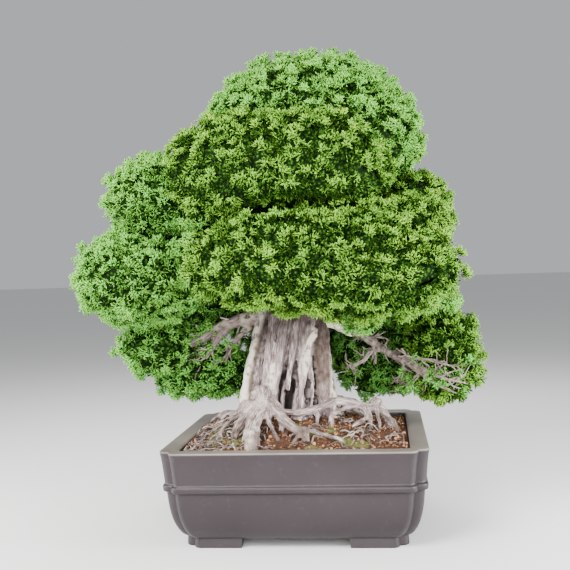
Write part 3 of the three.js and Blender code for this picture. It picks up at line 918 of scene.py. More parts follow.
@dataclass
class SoilBed:
    """The soil: a crumbly surface that rises to the trunk, with granules, fibres and moss on it."""

    finish: Material
    half: float = 171.6
    corner: float = 13.6
    edge_z: float = 140.0
    under_z: float = 120.0
    mound_x: float = -25.0
    mound_rise: float = 44.0
    mound_spread: tuple[float, float] = (115.0, 85.0)
    step: float = 3.6
    granules: int = 1500
    fibres: int = 900
    seed: int = 5

    def height(self, xy: Array) -> Array:
        """The height of the even soil.

        Args:
            xy: Places, shape (n, 2).

        Returns:
            The height at each.
        """
        x, y = xy.T
        edge = np.minimum(1, np.maximum(np.abs(x), np.abs(y)) / 172.0)
        wide, deep = self.mound_spread
        spread = ((x - self.mound_x) / wide) ** 2 + (y / deep) ** 2
        return self.edge_z + self.mound_rise * np.exp(-spread / 2) * (1 - 0.55 * edge**6)

    def crumbly(self, xy: Array) -> Array:
        """The height of the crumbly surface at places."""
        p = np.column_stack([xy, np.zeros(len(xy))])
        return self.height(xy) + (1.3 * Noise(self.seed).fractal(p / 9.0, 4, 0.6) - 0.6)

    def mossy(self, xy: Array) -> Array:
        """How green the soil is: moss grows on the left of the trunk.

        Args:
            xy: Places, shape (n, 2).

        Returns:
            The share of moss at each.
        """
        x, y = xy.T
        p = np.column_stack([xy, np.full(len(xy), 3.0)])
        left = np.exp(-(((x + 115) / 45) ** 2 + ((y + 60) / 70) ** 2))
        patch = Noise(self.seed + 1).fractal(p / 26.0, 3) + 0.55 * left
        return np.clip((patch - 0.25) * 3.5, 0, 0.85)

    def surface(self) -> Skin:
        """The surface with a skirt and a flat underside.

        Returns:
            The closed skin, with a tone and moss at its corners.
        """
        n = int(2 * self.half / self.step)
        line = np.linspace(-self.half, self.half, n + 1)
        x, y = (v.ravel() for v in np.meshgrid(line, line))
        inner = self.half - self.corner
        dx, dy = np.maximum(np.abs(x) - inner, 0), np.maximum(np.abs(y) - inner, 0)
        over = np.maximum(np.hypot(dx, dy) / self.corner, 1)
        x = np.where(dx * dy > 0, np.sign(x) * (inner + dx / over), x)
        y = np.where(dx * dy > 0, np.sign(y) * (inner + dy / over), y)
        xy = np.column_stack([x, y])
        index = np.arange((n + 1) ** 2).reshape(n + 1, n + 1)
        a, b, c, d = (v.ravel() for v in (index[:-1, :-1], index[:-1, 1:], index[1:, 1:], index[1:, :-1]))
        rim = np.concatenate([index[0, :-1], index[:-1, -1], index[-1, :0:-1], index[:0:-1, 0]])
        foot = len(x) + np.arange(len(rim))
        after = np.roll(np.arange(len(rim)), -1)
        middle = np.full(len(rim), len(x) + len(rim))
        below = np.column_stack([xy[rim], np.full(len(rim), self.under_z)])
        points = np.concatenate([np.column_stack([xy, self.crumbly(xy)]), below, [[0.0, 0.0, self.under_z]]])
        skirt = [(foot, foot[after], rim[after]), (foot, rim[after], rim), (middle, foot[after], foot)]
        faces = np.concatenate([np.stack(three, 1) for three in [(a, b, c), (a, c, d), *skirt]])
        tone = 0.3 + 0.25 * Noise(self.seed + 2).fractal(points / 5.0, 3)
        return Skin(points, faces, {"tone": tone, "moss": self.mossy(points[:, :2])})

    def spots(self, rng: Random, count: int) -> Array:
        """Random places on the surface, clear of the rim."""
        xy = rng.uniform(-self.half + 3, self.half - 3, (count, 2))
        return np.column_stack([xy, self.crumbly(xy)])

    def crumbs(self) -> Skin:
        """The granules: uneven twenty-sided grains, half sunk in the surface.

        Returns:
            One skin of them all, with their tones and moss.
        """
        rng = np.random.default_rng(self.seed)
        golden = (1 + 5**0.5) / 2
        base = [(-1, golden, 0), (1, golden, 0), (-1, -golden, 0), (1, -golden, 0)]
        shape = unit(np.array([np.roll(p, k) for k in range(3) for p in base], float))
        faces = hull_faces(shape)
        n = self.granules
        size = rng.uniform(1.4, 2.8, n) + 1.8 * rng.random(n) ** 5
        lumps = shape[None] * rng.uniform(0.72, 1.18, (n, 12, 1)) * size[:, None, None]
        lumps *= rng.uniform(0.75, 1.15, (n, 1, 3))
        spots = self.spots(rng, n)
        spots[:, 2] += 0.25 * size
        points = (lumps + spots[:, None]).reshape(-1, 3)
        tone = np.repeat(np.clip(rng.normal(0.55, 0.27, n), 0, 1), 12)
        moss = np.repeat(self.mossy(spots[:, :2]) * 0.5, 12)
        all_faces = (faces[None] + 12 * np.arange(n)[:, None, None]).reshape(-1, 3)
        return Skin(points, all_faces, {"tone": tone, "moss": moss})

    def litter(self) -> Skin:
        """Dry fibres and dropped leaf ends that lie on the surface.

        Returns:
            One skin of them all, with their tones and moss.
        """
        rng = np.random.default_rng(self.seed + 9)
        n = self.fibres
        start = self.spots(rng, n)
        a = rng.uniform(0, 2 * math.pi, n)
        length = rng.uniform(4, 12, n)
        end = start + np.column_stack([length * np.cos(a), length * np.sin(a), np.zeros(n)])
        end[:, :2] = np.clip(end[:, :2], -self.half + 2, self.half - 2)
        end[:, 2] = self.height(end[:, :2]) + rng.uniform(0.2, 2.4, n)
        start[:, 2] += 0.8
        skin = spindles(start, end, rng.uniform(0.3, 0.65, n))
        skin.values = {
            "tone": np.repeat(np.clip(rng.normal(0.85, 0.2, n), 0, 1), 5),
            "moss": np.repeat((rng.random(n) < 0.12) * 0.8, 5),
        }
        return skin

    def build(self) -> Piece:
        """Makes the soil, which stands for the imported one.

        Returns:
            The piece.
        """
        made = Skin.joined([self.surface(), self.crumbs(), self.litter()]).object("soil_bed", self.finish)
        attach(made, BODY)
        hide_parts("soil")
        return made


def hull_faces(points: Array) -> Array:
    """The triangles of a regular body with three-sided faces, found by its shortest edges.

    Args:
        points: Its corners, round the origin.

    Returns:
        The faces, shape (n, 3).
    """
    apart = np.linalg.norm(points[:, None] - points[None], axis=-1)
    edge = apart[apart > 1e-6].min() * 1.01
    faces = []
    for i, j, k in combinations(range(len(points)), 3):
        if max(apart[i, j], apart[j, k], apart[i, k]) < edge:
            out = np.dot(np.cross(points[j] - points[i], points[k] - points[i]), points[i])
            faces.append((i, j, k) if out > 0 else (i, k, j))
    return np.array(faces)


# The wood


class Surface(Enum):
    """What a limb's surface is."""

    DEADWOOD = "deadwood"
    LEFT_VEIN = "left vein"
    RIGHT_VEIN = "right vein"
    ROOT = "root"
    BRANCH = "branch"
    JIN = "jin"


@dataclass
class Limb:
    """A tapering limb along a smooth curve through stations of x, y, z and radius."""

    stations: Stations
    surface: Surface

    def sampled(self, spacing: float) -> tuple[Array, Array]:
        """Points along the limb.

        Args:
            spacing: About how far apart they lie.

        Returns:
            The points, shape (n, 3), and their radii.
        """
        s = np.array(self.stations, float)
        ends = [2 * s[0] - s[1], *s, 2 * s[-1] - s[-2]]
        points = []
        for i in range(len(s) - 1):
            p0, p1, p2, p3 = (np.array(p[:3]) for p in ends[i : i + 4])
            steps = ((p0, p1), (p1, p2), (p2, p3))
            d0, d1, d2 = (max(np.linalg.norm(b - a), 1e-4) ** 0.5 for a, b in steps)
            t1 = ((p1 - p0) / d0 - (p2 - p0) / (d0 + d1) + (p2 - p1) / d1) * d1
            t2 = ((p2 - p1) / d1 - (p3 - p1) / (d1 + d2) + (p3 - p2) / d2) * d1
            count = max(2, int(math.ceil(np.linalg.norm(p2 - p1) / spacing)))
            for k in range(count + (i == len(s) - 2)):
                t = k / count
                bend, turn = 3 * (p2 - p1) - 2 * t1 - t2, 2 * (p1 - p2) + t1 + t2
                place = p1 + t1 * t + bend * t * t + turn * t**3
                points.append([*place, s[i, 3] + (s[i + 1, 3] - s[i, 3]) * t])
        made = np.array(points)
        return made[:, :3], made[:, 3]

    def frames(self, centres: Array) -> tuple[Array, Array]:
        """Two directions square to the limb at each point, carried along it without a twist.

        Args:
            centres: Points along the limb.

        Returns:
            The two directions at each point.
        """
        along = unit(np.gradient(centres, axis=0))
        ref = np.array([0.0, 0.0, 1.0]) if abs(along[0, 2]) < 0.8 else np.array([1.0, 0.0, 0.0])
        side = unit(np.cross(along[0], ref))
        sides = []
        for t in along:
            side = unit(side - t * np.dot(side, t))
            sides.append(side)
        first = np.array(sides)
        return first, np.cross(along, first)

    def tube(self, spacing: float, sides: int, noise: Noise, knobs: float = 0.12) -> Skin:
        """The limb as a closed tube.

        Args:
            spacing: Distance between rings.
            sides: Points in a ring.
            noise: Makes the radius uneven.
            knobs: How uneven, as a share of the radius.

        Returns:
            The skin.
        """
        centres, radii = self.sampled(spacing)
        u, v = self.frames(centres)
        a = 2 * math.pi * np.arange(sides) / sides
        out = u[:, None] * np.cos(a)[None, :, None] + v[:, None] * np.sin(a)[None, :, None]
        p = centres[:, None] + out * radii[:, None, None]
        uneven = noise.fractal(p.reshape(-1, 3) / 14.0, 2).reshape(len(centres), sides)
        return loft(centres[:, None] + out * (radii[:, None] * (1 + knobs * uneven))[..., None])


# The limbs: stations of x, y, z and radius.
VEIN_LEFT = (
    (-92, -14, 120, 22), (-90, -12, 165, 21), (-83, -10, 200, 19), (-76, -8, 245, 17),
    (-66, -4, 295, 15), (-56, 0, 345, 14), (-36, 10, 410, 12), (4, 24, 470, 8),
)
VEIN_RIGHT = (
    (60, -12, 120, 20), (50, -16, 165, 22), (40, -19, 200, 20), (37, -18, 245, 17.5),
    (35, -14, 290, 16), (36, -6, 325, 15), (38, 8, 365, 12), (36, 22, 420, 8),
)

OPEN_BRANCHES = {
    "left_low": (
        (-45, 4, 335, 15), (-90, 2, 332, 12), (-126, 6, 322, 10), (-170, 12, 300, 8),
        (-215, 20, 279, 6), (-262, 30, 272, 3),
    ),
    "left_fork": ((-118, 4, 322, 7), (-138, -4, 298, 5.5), (-156, 2, 274, 4.5), (-172, 22, 244, 3)),
    "left_twig": (
        (-80, 4, 320, 5), (-106, 6, 300, 4.5), (-119, 4, 284, 4), (-126, 12, 262, 3.5), (-132, 28, 236, 2.5),
    ),
    "right_low": (
        (30, 0, 330, 15), (56, 0, 322, 10.5), (84, 10, 311, 7.8), (114, 20, 291, 6.8), (146, 30, 268, 6.2),
        (174, 40, 245, 5.2), (207, 50, 228, 4.4), (250, 56, 226, 3),
    ),
    "right_fork": ((138, 27, 274, 5), (118, 8, 273, 4.5), (104, 2, 259, 4), (84, -8, 250, 3)),
    "right_back_fork": ((150, 31, 266, 5.5), (172, 48, 268, 4.5), (192, 66, 262, 4), (205, 96, 262, 2.5)),
    "right_drop": ((178, 42, 243, 4.5), (170, 34, 226, 4), (164, 30, 208, 3), (168, 46, 192, 2)),
    "right_curtain": ((60, 10, 322, 8), (92, 60, 304, 7), (122, 110, 285, 6), (150, 150, 268, 3.5)),
    "right_front": (
        (140, 24, 271, 6), (168, -2, 258, 5.5), (200, -36, 246, 4.6), (232, -58, 234, 3.6),
        (266, -50, 224, 2),
    ),
    "right_front_low": ((172, -6, 256, 4.4), (194, -28, 240, 3.6), (224, -52, 222, 3), (252, -48, 208, 1.6)),
    "right_front_high": (
        (156, 10, 263, 4.4), (182, -28, 264, 3.6), (214, -54, 262, 2.8), (244, -54, 252, 1.5),
    ),
}

HIDDEN_BRANCHES = {
    "upper_front": ((30, 20, 500, 13), (5, -15, 540, 11), (-30, -50, 565, 8), (-60, -70, 575, 4)),
    "front": ((-4, -5, 365, 16), (15, -60, 380, 13), (40, -110, 395, 9), (80, -135, 398, 4)),
    "front_left": ((-10, -5, 372, 12), (-50, -60, 385, 9), (-95, -105, 402, 5)),
    "upper_left": ((14, 20, 440, 14), (-70, 10, 475, 12), (-160, 0, 510, 9), (-235, -5, 535, 4)),
    "left": ((-20, 5, 385, 15), (-100, -20, 392, 12), (-190, -50, 396, 9), (-265, -70, 400, 4)),
    "right_mid": ((22, 22, 440, 12), (90, 0, 458, 10), (165, -35, 470, 5)),
    "right_back": ((28, 32, 465, 12), (100, 52, 478, 10), (190, 74, 496, 5)),
    "back_mid": ((26, 38, 455, 14), (26, 100, 480, 11), (20, 175, 505, 5)),
    "back_left": ((-14, 22, 375, 13), (-80, 90, 372, 10), (-150, 160, 368, 5)),
    "back_right": ((14, 24, 385, 12), (65, 95, 388, 10), (118, 170, 392, 5)),
    "back_low": ((-10, 28, 322, 11), (-20, 100, 304, 9), (-30, 170, 288, 4)),
}

ROOTS = {
    "knuckle": (
        (-62, -32, 200, 19), (-60, -52, 212, 17), (-54, -72, 209, 15), (-56, -88, 197, 13),
        (-64, -104, 182, 12), (-66, -128, 166, 12), (-63, -148, 149, 12.5), (-62, -154, 122, 9),
    ),
    "outer_finger": (
        (-58, -70, 209, 9), (-74, -84, 193, 8), (-89, -97, 172, 7.5), (-96, -116, 157, 6.5),
        (-100, -126, 128, 4),
    ),
    "inner_finger": (
        (-50, -72, 209, 10), (-30, -93, 190, 9), (-7, -111, 172, 8), (13, -124, 158, 7.5), (25, -132, 128, 5),
    ),
    "crook": (
        (-54, -66, 211, 8), (-36, -74, 204, 6.5), (-25, -82, 189, 6), (-24, -92, 173, 5.5),
        (-26, -98, 134, 4),
    ),
    "middle_finger": (
        (-46, -96, 192, 5.5), (-40, -110, 174, 5), (-30, -122, 159, 4.5), (-18, -134, 128, 3.5),
    ),
    "runner": (
        (0, -116, 166, 4.5), (14, -115, 168, 4.5), (28, -117, 164, 4.5), (50, -125, 158, 4),
        (72, -134, 151, 3.8), (84, -140, 128, 3),
    ),
    "toe": ((10, -122, 161, 4.5), (0, -135, 154, 4), (-8, -145, 128, 3)),
    "arch": (
        (-46, -40, 192, 6), (-25, -60, 186, 5.5), (7, -60, 185, 6), (40, -50, 193, 6.5),
        (60, -42, 199, 7), (87, -30, 193, 7), (107, -20, 187, 7.5), (124, -10, 183, 8.5),
        (137, -10, 172, 6.5), (149, -16, 128, 5),
    ),
    "arch_drop_1": ((29, -53, 190, 4.5), (30, -61, 177, 4), (29, -70, 162, 3.5), (29, -73, 128, 3)),
    "arch_drop_2": ((57, -43, 198, 5), (52, -58, 178, 4.5), (53, -73, 161, 4), (53, -77, 128, 3)),
    "arch_link": ((51, -57, 179, 4), (66, -52, 186, 4.2), (83, -44, 189, 4.2), (100, -27, 189, 4.5)),
    "arch_drop_3": (
        (98, -28, 188, 5.5), (107, -43, 174, 5), (97, -54, 167, 4.5), (84, -62, 160, 4.5), (72, -68, 128, 3),
    ),
    "arch_drop_4": ((108, -22, 185, 5), (112, -34, 172, 4.5), (114, -46, 158, 4), (116, -50, 128, 3)),
    "arch_drop_5": ((119, -13, 184, 5), (126, -28, 171, 4.5), (129, -40, 156, 4), (131, -46, 128, 3)),
    "arch_drop_6": ((129, -10, 181, 5), (143, -18, 168, 4.5), (153, -28, 154, 4), (158, -34, 128, 3)),
    "burl": ((112, -14, 178, 10), (121, -10, 189, 11), (126, -9, 198, 8.5)),
    "right_flare": ((44, -6, 196, 13), (68, 0, 190, 10), (96, 8, 172, 8), (120, 16, 134, 6)),
    "left_flare": ((-86, -18, 192, 14), (-102, -26, 174, 10), (-120, -40, 150, 8), (-130, -46, 124, 6)),
}

# The ribs of bare wood that stand out of the trunk's front: stations of x, z and radius.
RIBS = (
    ((-43, 340, 5), (-46, 306, 7), (-52, 252, 8), (-58, 205, 8.5), (-60, 180, 9)),
    ((-37, 296, 3), (-41, 251, 6), (-44, 208, 6.5), (-46, 180, 7)),
    ((-18, 340, 5), (-25, 301, 7), (-29, 274, 7.5), (-35, 240, 7), (-41, 206, 5), (-43, 190, 3)),
    ((-3, 330, 4), (-6, 309, 5), (-10, 273, 6), (-15, 239, 5.5), (-16, 217, 3)),
    ((10, 330, 4), (8, 300, 5), (3, 262, 5.5), (4, 228, 4.5), (5, 205, 4), (5, 180, 4)),
    ((46, 322, 5), (28, 309, 6.5), (17, 291, 7), (12, 261, 6.5), (11, 239, 5), (9, 207, 3)),
    ((20, 270, 3), (21, 250, 4.5), (22, 227, 4.5), (21, 205, 4), (20, 180, 4)),
)

# The clefts between them, carved in and painted dark as shade: stations of x, z and half width.
CLEFT_LINES = (
    ((-16, 272, 0.8), (-23, 245, 3), (-29, 223, 4), (-32, 196, 5)),
    ((16, 244, 0.8), (15, 222, 1.8), (15, 200, 2.6)),
    ((36, 312, 1), (27, 284, 2.2), (26, 250, 2.2), (28, 227, 2), (26, 196, 2)),
    ((-3, 264, 0.8), (-4, 228, 1.8), (-4, 212, 2)),
    ((-52, 330, 1), (-56, 293, 1.6), (-61, 258, 1.6), (-68, 223, 1.8), (-71, 196, 2)),
)

# The near-white bands on the ribs, partly bleached wood and partly painted highlight: stations of x, z and
# half width.
BLEACH_AND_HIGHLIGHT_LINES = (
    ((47, 330, 7), (34, 313, 7), (21, 297, 5), (13, 268, 3.5), (11, 240, 2)),
    ((-41, 262, 2), (-45, 240, 3.5), (-48, 205, 4)),
)

# The trunk's body: slices of z, centre x and y, and half widths.
SLICES = (
    (96, -20, 4, 62, 52), (160, -17, 4, 88, 66), (182, -17, 4, 80, 59), (204, -19, 5, 75, 54),
    (232, -20, 5, 72, 51), (262, -18, 6, 66, 48), (292, -14, 8, 61, 45), (322, -10, 10, 56, 42),
    (352, -4, 12, 50, 39), (400, 6, 18, 42, 35), (460, 24, 30, 34, 30), (530, 44, 46, 25, 23),
    (600, 56, 58, 15, 14), (655, 60, 62, 7, 7),
)

# The deep clefts in it: foot z and angle, tip z and angle, half width in degrees, and depth by the radius.
DEEP_CLEFTS = (
    (186, 268, 300, 291, 7.0, 0.34),
    (182, 306, 262, 304, 5.5, 0.36),
    (196, 322, 322, 318, 4.0, 0.2),
    (230, 246, 345, 252, 5.0, 0.1),
)


@dataclass
class TrunkForm:
    """The trunk's body, with its flutes, its flare at the foot and its clefts."""

    low: float = 118.0
    high: float = 430.0
    step: float = 3.0
    sides: int = 200
    foot_z: float = 180.0
    flare_z: float = 205.0
    front_sunk: float = 0.35

    def at(self, z: Array) -> Array:
        """Centre x and y and half widths at heights, shape (n, 4)."""
        slices = np.array(SLICES, float)
        return np.column_stack([np.interp(z, slices[:, 0], slices[:, k]) for k in range(1, 5)])

    def cleft_depth(self, angle: Array, z: Array) -> Array:
        """How deep the clefts are.

        Args:
            angle: Angles round the trunk in degrees.
            z: Heights.

        Returns:
            The depth at each, as a share of the radius.
        """
        total = np.zeros(np.broadcast(angle, z).shape)
        for foot, foot_angle, tip, tip_angle, wide, deep in DEEP_CLEFTS:
            share = (z - foot) / (tip - foot)
            middle = foot_angle + (tip_angle - foot_angle) * share
            narrow = np.clip(1.25 * (1.02 - share) + 0.2, 0, 1)
            away = np.abs(angle - middle) / np.maximum(wide * narrow, 0.1)
            inside = (share > -0.12) & (share < 1.02) & (away < 1)
            total = np.maximum(total, np.where(inside, deep * narrow * (1 - away**2), 0))
        return total

    def surface(self, angle: Array, z: Array) -> Array:
        """Points on the surface, with its flutes, flare and clefts.

        Args:
            angle: Angles round the trunk in degrees.
            z: Heights.

        Returns:
            A point for each, shape (n, 3).
        """
        front = np.maximum(0, -np.sin(np.radians(angle)))
        flare = np.maximum(0, (self.flare_z - z) / 60)
        twist = 0.12 * (z - self.foot_z)

        def waves(k: int, shift: float) -> Array:
            """A wave that runs k times round the trunk and turns slowly with height."""
            return np.cos(np.radians(k * (angle + shift) - twist))

        swell = 1 + 0.035 * front * waves(15, 4) + 0.02 * waves(7, 20) + 0.1 * flare * waves(5, 12)
        swell = swell - self.cleft_depth(angle, z)
        x, y, a, b = self.at(z).T
        t = np.radians(angle)
        return np.column_stack([x + a * swell * np.cos(t), y + b * swell * np.sin(t), z])

    def skin(self) -> Skin:
        """The trunk from inside the soil to inside the crown.

        Returns:
            The closed skin.
        """
        angles = 360 * np.arange(self.sides) / self.sides
        heights = np.arange(self.low, self.high + self.step, self.step)
        return loft(np.array([self.surface(angles, np.full(self.sides, z)) for z in heights]))

    def near_lines(self, p: Array, lines: Sequence[Stations]) -> Array:
        """How far points lie from lines on the front.

        Args:
            p: The points, shape (n, 3).
            lines: Lines with stations of x, z and half width.

        Returns:
            The distance across to the nearest line, in half widths of it.
        """
        least = np.full(len(p), 9.0)
        for line in lines:
            x, z, half = np.array(sorted(line, key=lambda s: s[1]), float).T
            inside = (p[:, 2] >= z[0] - 4) & (p[:, 2] <= z[-1])
            away = np.abs(p[:, 0] - np.interp(p[:, 2], z, x)) / np.interp(p[:, 2], z, half)
            least = np.where(inside, np.minimum(least, away), least)
        return least

    def rib(self, stations: Stations) -> Limb:
        """A rib that lies along the front, half sunk in it.

        Args:
            stations: Its x, z and radius.

        Returns:
            The limb.
        """
        made = []
        for x, z, radius in stations:
            cx, cy, a, b = self.at(np.array([z]))[0]
            across = np.clip((x - cx) / a, -0.95, 0.95)
            y = cy - b * math.sqrt(1 - across**2)
            made.append((x, y + self.front_sunk * radius, z, radius))
        return Limb(made, Surface.DEADWOOD)


# The jin: a stub of bare pale wood on the right, and its prong.
JINS = (
    ((40, -12, 322, 9), (54, -12, 321, 8), (68, -12, 314, 6), (82, -14, 304, 4), (92, -16, 298, 1.5)),
    ((52, -10, 324, 5), (66, -8, 324, 4), (80, -8, 318, 2.5), (90, -8, 315, 1)),
)

# Where thin roots lie tangled: the middle and the spread in x and y, and how many.
TANGLES = (((-122, -82), (30, 52), 120), ((-60, -135), (44, 14), 16), ((100, -72), (46, 34), 40))

# Fans of crawling roots: first and last heading in degrees, how many, least and greatest reach, and radius.
ROOT_FANS = ((150, 238, 6, (58, 96), 4.2), (30, 140, 3, (45, 70), 5.5))


@dataclass
class Timber:
    """The grown wood: the trunk with its ribs and live veins, the roots and the branches."""

    finish: Material
    soil: SoilBed
    form: TrunkForm = field(default_factory=TrunkForm)
    voxel: float = 2.55
    branch_voxel: float = 2.2
    twig_low: float = 190.0
    buried_z: float = 128.0
    front_low: float = 170.0
    front_high: float = 350.0
    # Where the painted shadow of the crown begins on the top of the trunk.
    crown_shadow_from: float = 266.0
    # Where the darker bark toward the top of the trunk begins, partly painted shadow of the crown.
    top_bark_and_shade_from: float = 285.0
    bark_to: float = 235.0
    slit_depth: float = 8.0
    between_depth: float = 3.2
    limb_shift: float = 37.0
    seed: int = 29

    def crawling_roots(self) -> list[Limb]:
        """The surface roots that crawl over the mound, fanned by a rule.

        Returns:
            The limbs.
        """
        random = seeded(self.seed).__next__
        made = []
        for low, high, count, reach, radius in ROOT_FANS:
            for k in range(count):
                heading = math.radians(low + (high - low) * (k + 0.5) / count)
                bend = (random() - 0.5) * 1.1
                far = reach[0] + (reach[1] - reach[0]) * random()
                stations = []
                for i in range(5):
                    s = i / 4
                    a = heading + bend * s * s + (random() - 0.5) * 0.16
                    x = -17 + (70 + far * s) * math.cos(a)
                    y = 4 + (48 + far * s) * math.sin(a)
                    hop = math.sin(math.pi * s) * (4 + 7 * random())
                    ground = self.soil.height(np.array([[x, y]]))[0]
                    z = self.buried_z if i == 4 else ground + (hop + 1 if i else 6)
                    stations.append((x, y, z, radius * (1.15 - 0.5 * s)))
                made.append(Limb(stations, Surface.ROOT))
        return made

    def tangle(self) -> list[Limb]:
        """The thin pale roots that lie tangled on the soil, most of them left of the trunk.

        Returns:
            The limbs.
        """
        rng = np.random.default_rng(self.seed)
        made = []
        for middle, spread, count in TANGLES:
            for _ in range(count):
                p = rng.normal(middle, spread)
                heading = rng.uniform(0, 2 * math.pi)
                radius = rng.uniform(0.6, 1.5)
                stations = []
                knots = rng.integers(4, 8)
                for i in range(knots):
                    heading += rng.normal(0, 0.75)
                    p = np.clip(p + 8.5 * np.array([math.cos(heading), math.sin(heading)]), -164, 164)
                    ground = self.soil.height(p[None])[0]
                    lift = rng.uniform(0.5, 6.5) if 0 < i < knots - 1 else -1.5
                    stations.append((p[0], p[1], ground + lift, radius * (1.1 - 0.5 * i / knots)))
                made.append(Limb(stations, Surface.ROOT))
        return made

    def remeshed(self, skins: Sequence[Skin], voxel: float) -> Skin:
        """Fuses overlapping skins into one with even faces.

        Args:
            skins: The skins.
            voxel: About how long the new edges are.

        Returns:
            The fused skin.
        """
        work = Skin.joined(skins).object("work", self.finish)
        modifier = work.modifiers.new("fuse", "REMESH")
        modifier.mode, modifier.voxel_size = "VOXEL", voxel * MM
        return smoothed(evaluated_skin(work), 2)

    def nearest(self, points: Array, limbs: Sequence[Limb], with_trunk: bool) -> tuple[Array, Array]:
        """Finds which limb each point belongs to, and grain coordinates along it.

        Args:
            points: The points, shape (n, 3).
            limbs: The limbs.
            with_trunk: Whether the trunk's own body is one of the choices.

        Returns:
            The index of the limb, with -1 for the trunk, and the grain coordinates.
        """
        lines = []
        for k, limb in enumerate(limbs):
            c, r = limb.sampled(4.0)
            run = np.concatenate([[0], np.cumsum(np.linalg.norm(np.diff(c, axis=0), axis=1))])
            lines.append((c, r, *limb.frames(c), run, np.full(len(c), k)))
        c, r, u, v, run, who = (np.concatenate(x) for x in zip(*lines))
        best = np.empty(len(points), np.int64)
        power = np.empty(len(points))
        weight = (c**2).sum(1) - r**2
        batch = 20000
        for first in range(0, len(points), batch):
            part = slice(first, first + batch)
            p = points[part]
            cost = weight[None] - 2 * p @ c.T
            pick = cost.argmin(1)
            best[part] = pick
            power[part] = cost[np.arange(len(p)), pick] + (p**2).sum(1)
        away = points - c[best]
        across, over = (away * u[best]).sum(1), (away * v[best]).sum(1)
        grain = np.column_stack([across, over, 0.12 * run[best] + self.limb_shift * who[best]])
        owner = who[best]
        if with_trunk:
            x, y, a, b = self.form.at(points[:, 2]).T
            dx, dy = points[:, 0] - x, points[:, 1] - y
            on_trunk = (dx * b / a) ** 2 + dy**2 - b**2 < power
            turn = np.radians(0.1 * (points[:, 2] - self.form.foot_z))
            across, over = dx * np.cos(turn) + dy * np.sin(turn), dy * np.cos(turn) - dx * np.sin(turn)
            owner = np.where(on_trunk, -1, owner)
            own = np.column_stack([across, over, 0.1 * points[:, 2]])
            grain = np.where(on_trunk[:, None], own, grain)
        return owner, grain

    def weathered(self, skin: Skin, limbs: Sequence[Limb], with_trunk: bool) -> Skin:
        """Carves the grain into a fused skin and marks bark and lichen on it, with painted shade in its
        clefts and grooves and near-white bands that are partly painted highlight.

        Args:
            skin: The skin.
            limbs: The limbs that it was fused from.
            with_trunk: Whether the trunk's own body is in it.

        Returns:
            The carved skin, with its grain and marks.
        """
        owner, grain = self.nearest(skin.points, limbs, with_trunk)
        order = list(Surface)
        surfaces = [limb.surface for limb in limbs] + [Surface.DEADWOOD]
        kind = np.array([order.index(surface) for surface in surfaces])[owner]
        is_dead, is_left, is_right, is_root, is_branch, is_jin = (kind == k for k in range(len(order)))
        is_rough = is_root | is_jin
        p, normal = skin.points, corner_normals(skin)
        z = p[:, 2]
        noise, other = Noise(self.seed), Noise(self.seed + 1)
        flutes = np.abs(noise.fractal(grain / np.where(is_rough, 5.5, 8.0)[:, None], 2)) ** 0.7
        lines = np.abs(other.fractal(grain / 3.4, 2)) ** 0.7
        lumps = noise.fractal(p / 11.0, 2)
        flake = other.fractal(p / 4.5, 3)
        mottled = other.fractal(p / 13.0, 3)

        # How high the surface stands over the fused one.
        flute, line = flutes - 0.45, lines - 0.45
        carve = np.where(is_dead, 3.4 * flute + 1.3 * line, 0.0)
        carve = np.where(is_rough, 2.2 * line + 3.0 * flute + 2.6 * lumps, carve)
        carve = np.where(is_left | is_right, 0.9 * flake + 1.4 * lumps + 0.9 * line, carve)
        carve = np.where(is_branch, 0.7 * flake + 0.8 * lumps + 0.5 * line, carve)
        points = p + normal * carve[:, None]

        # The slits and hollows of the trunk's front.
        x, y, a, b = self.form.at(z).T
        angle = np.degrees(np.arctan2((p[:, 1] - y) / b, (p[:, 0] - x) / a)) % 360
        on_trunk = is_dead if with_trunk else np.zeros(len(p), bool)
        inward = 1 - np.hypot((p[:, 0] - x) / a, (p[:, 1] - y) / b)
        wavy = p + np.column_stack([1.6 * noise.fractal(p / [30.0, 30.0, 22.0], 2), np.zeros((len(p), 2))])
        is_front = (p[:, 1] < y - 0.3 * b) & (z < self.front_high) & (z > self.front_low)
        front = (on_trunk & is_front).astype(float)
        slit = front * np.clip(1.3 - self.form.near_lines(wavy, CLEFT_LINES), 0, 1)
        rib = self.form.near_lines(wavy, RIBS)
        between = front * np.clip((rib - 0.75) / 0.5, 0, 1) * np.clip((2.6 - rib) / 0.6, 0, 1)
        points -= normal * (self.slit_depth * slit + self.between_depth * between)[:, None]

        # Painted shade: how dark each place is painted, in the clefts and slits, between the ribs, in the
        # hollows of the front, in the grooves of the grain and under the crown.
        groove_shade = np.clip(1.5 * (0.26 - lines) + 1.2 * (0.22 - flutes), 0, 1)
        cleft_shade = 3 * self.form.cleft_depth(angle, z)
        dark = [
            np.where(on_trunk, np.clip(cleft_shade * np.clip(inward * 14, 0, 1), 0, 0.9), 0.0),
            np.clip(1.4 * slit, 0, 0.97),
            0.55 * between,
            front * np.clip((inward - 0.1) / 0.1, 0, 0.96),
            np.where(is_dead, 0.75 * groove_shade, np.where(is_rough, groove_shade, 0.35 * groove_shade)),
        ]
        # Painted shadow: the top of the trunk is painted darker under the crown.
        if with_trunk:
            dark.append(np.clip((z - self.crown_shadow_from) / 60, 0, 0.6) * (0.9 + 0.6 * mottled))
        deep = np.maximum.reduce(dark)

        # How much bark there is.
        edge = np.clip((x - 0.86 * a - p[:, 0]) / 7 + 0.4 * mottled, 0, 1)
        bark = np.where(is_right, np.clip(0.95 - (self.bark_to - z) / 60 + 0.5 * mottled, 0.25, 1), 0.0)
        bark = np.where(is_right & (z > self.bark_to), 0.95, bark)
        bark = np.where(is_left, 0.95 * (1 - edge), bark)
        bark = np.where(is_branch, np.clip(0.7 + 0.9 * mottled, 0.2, 1), bark)
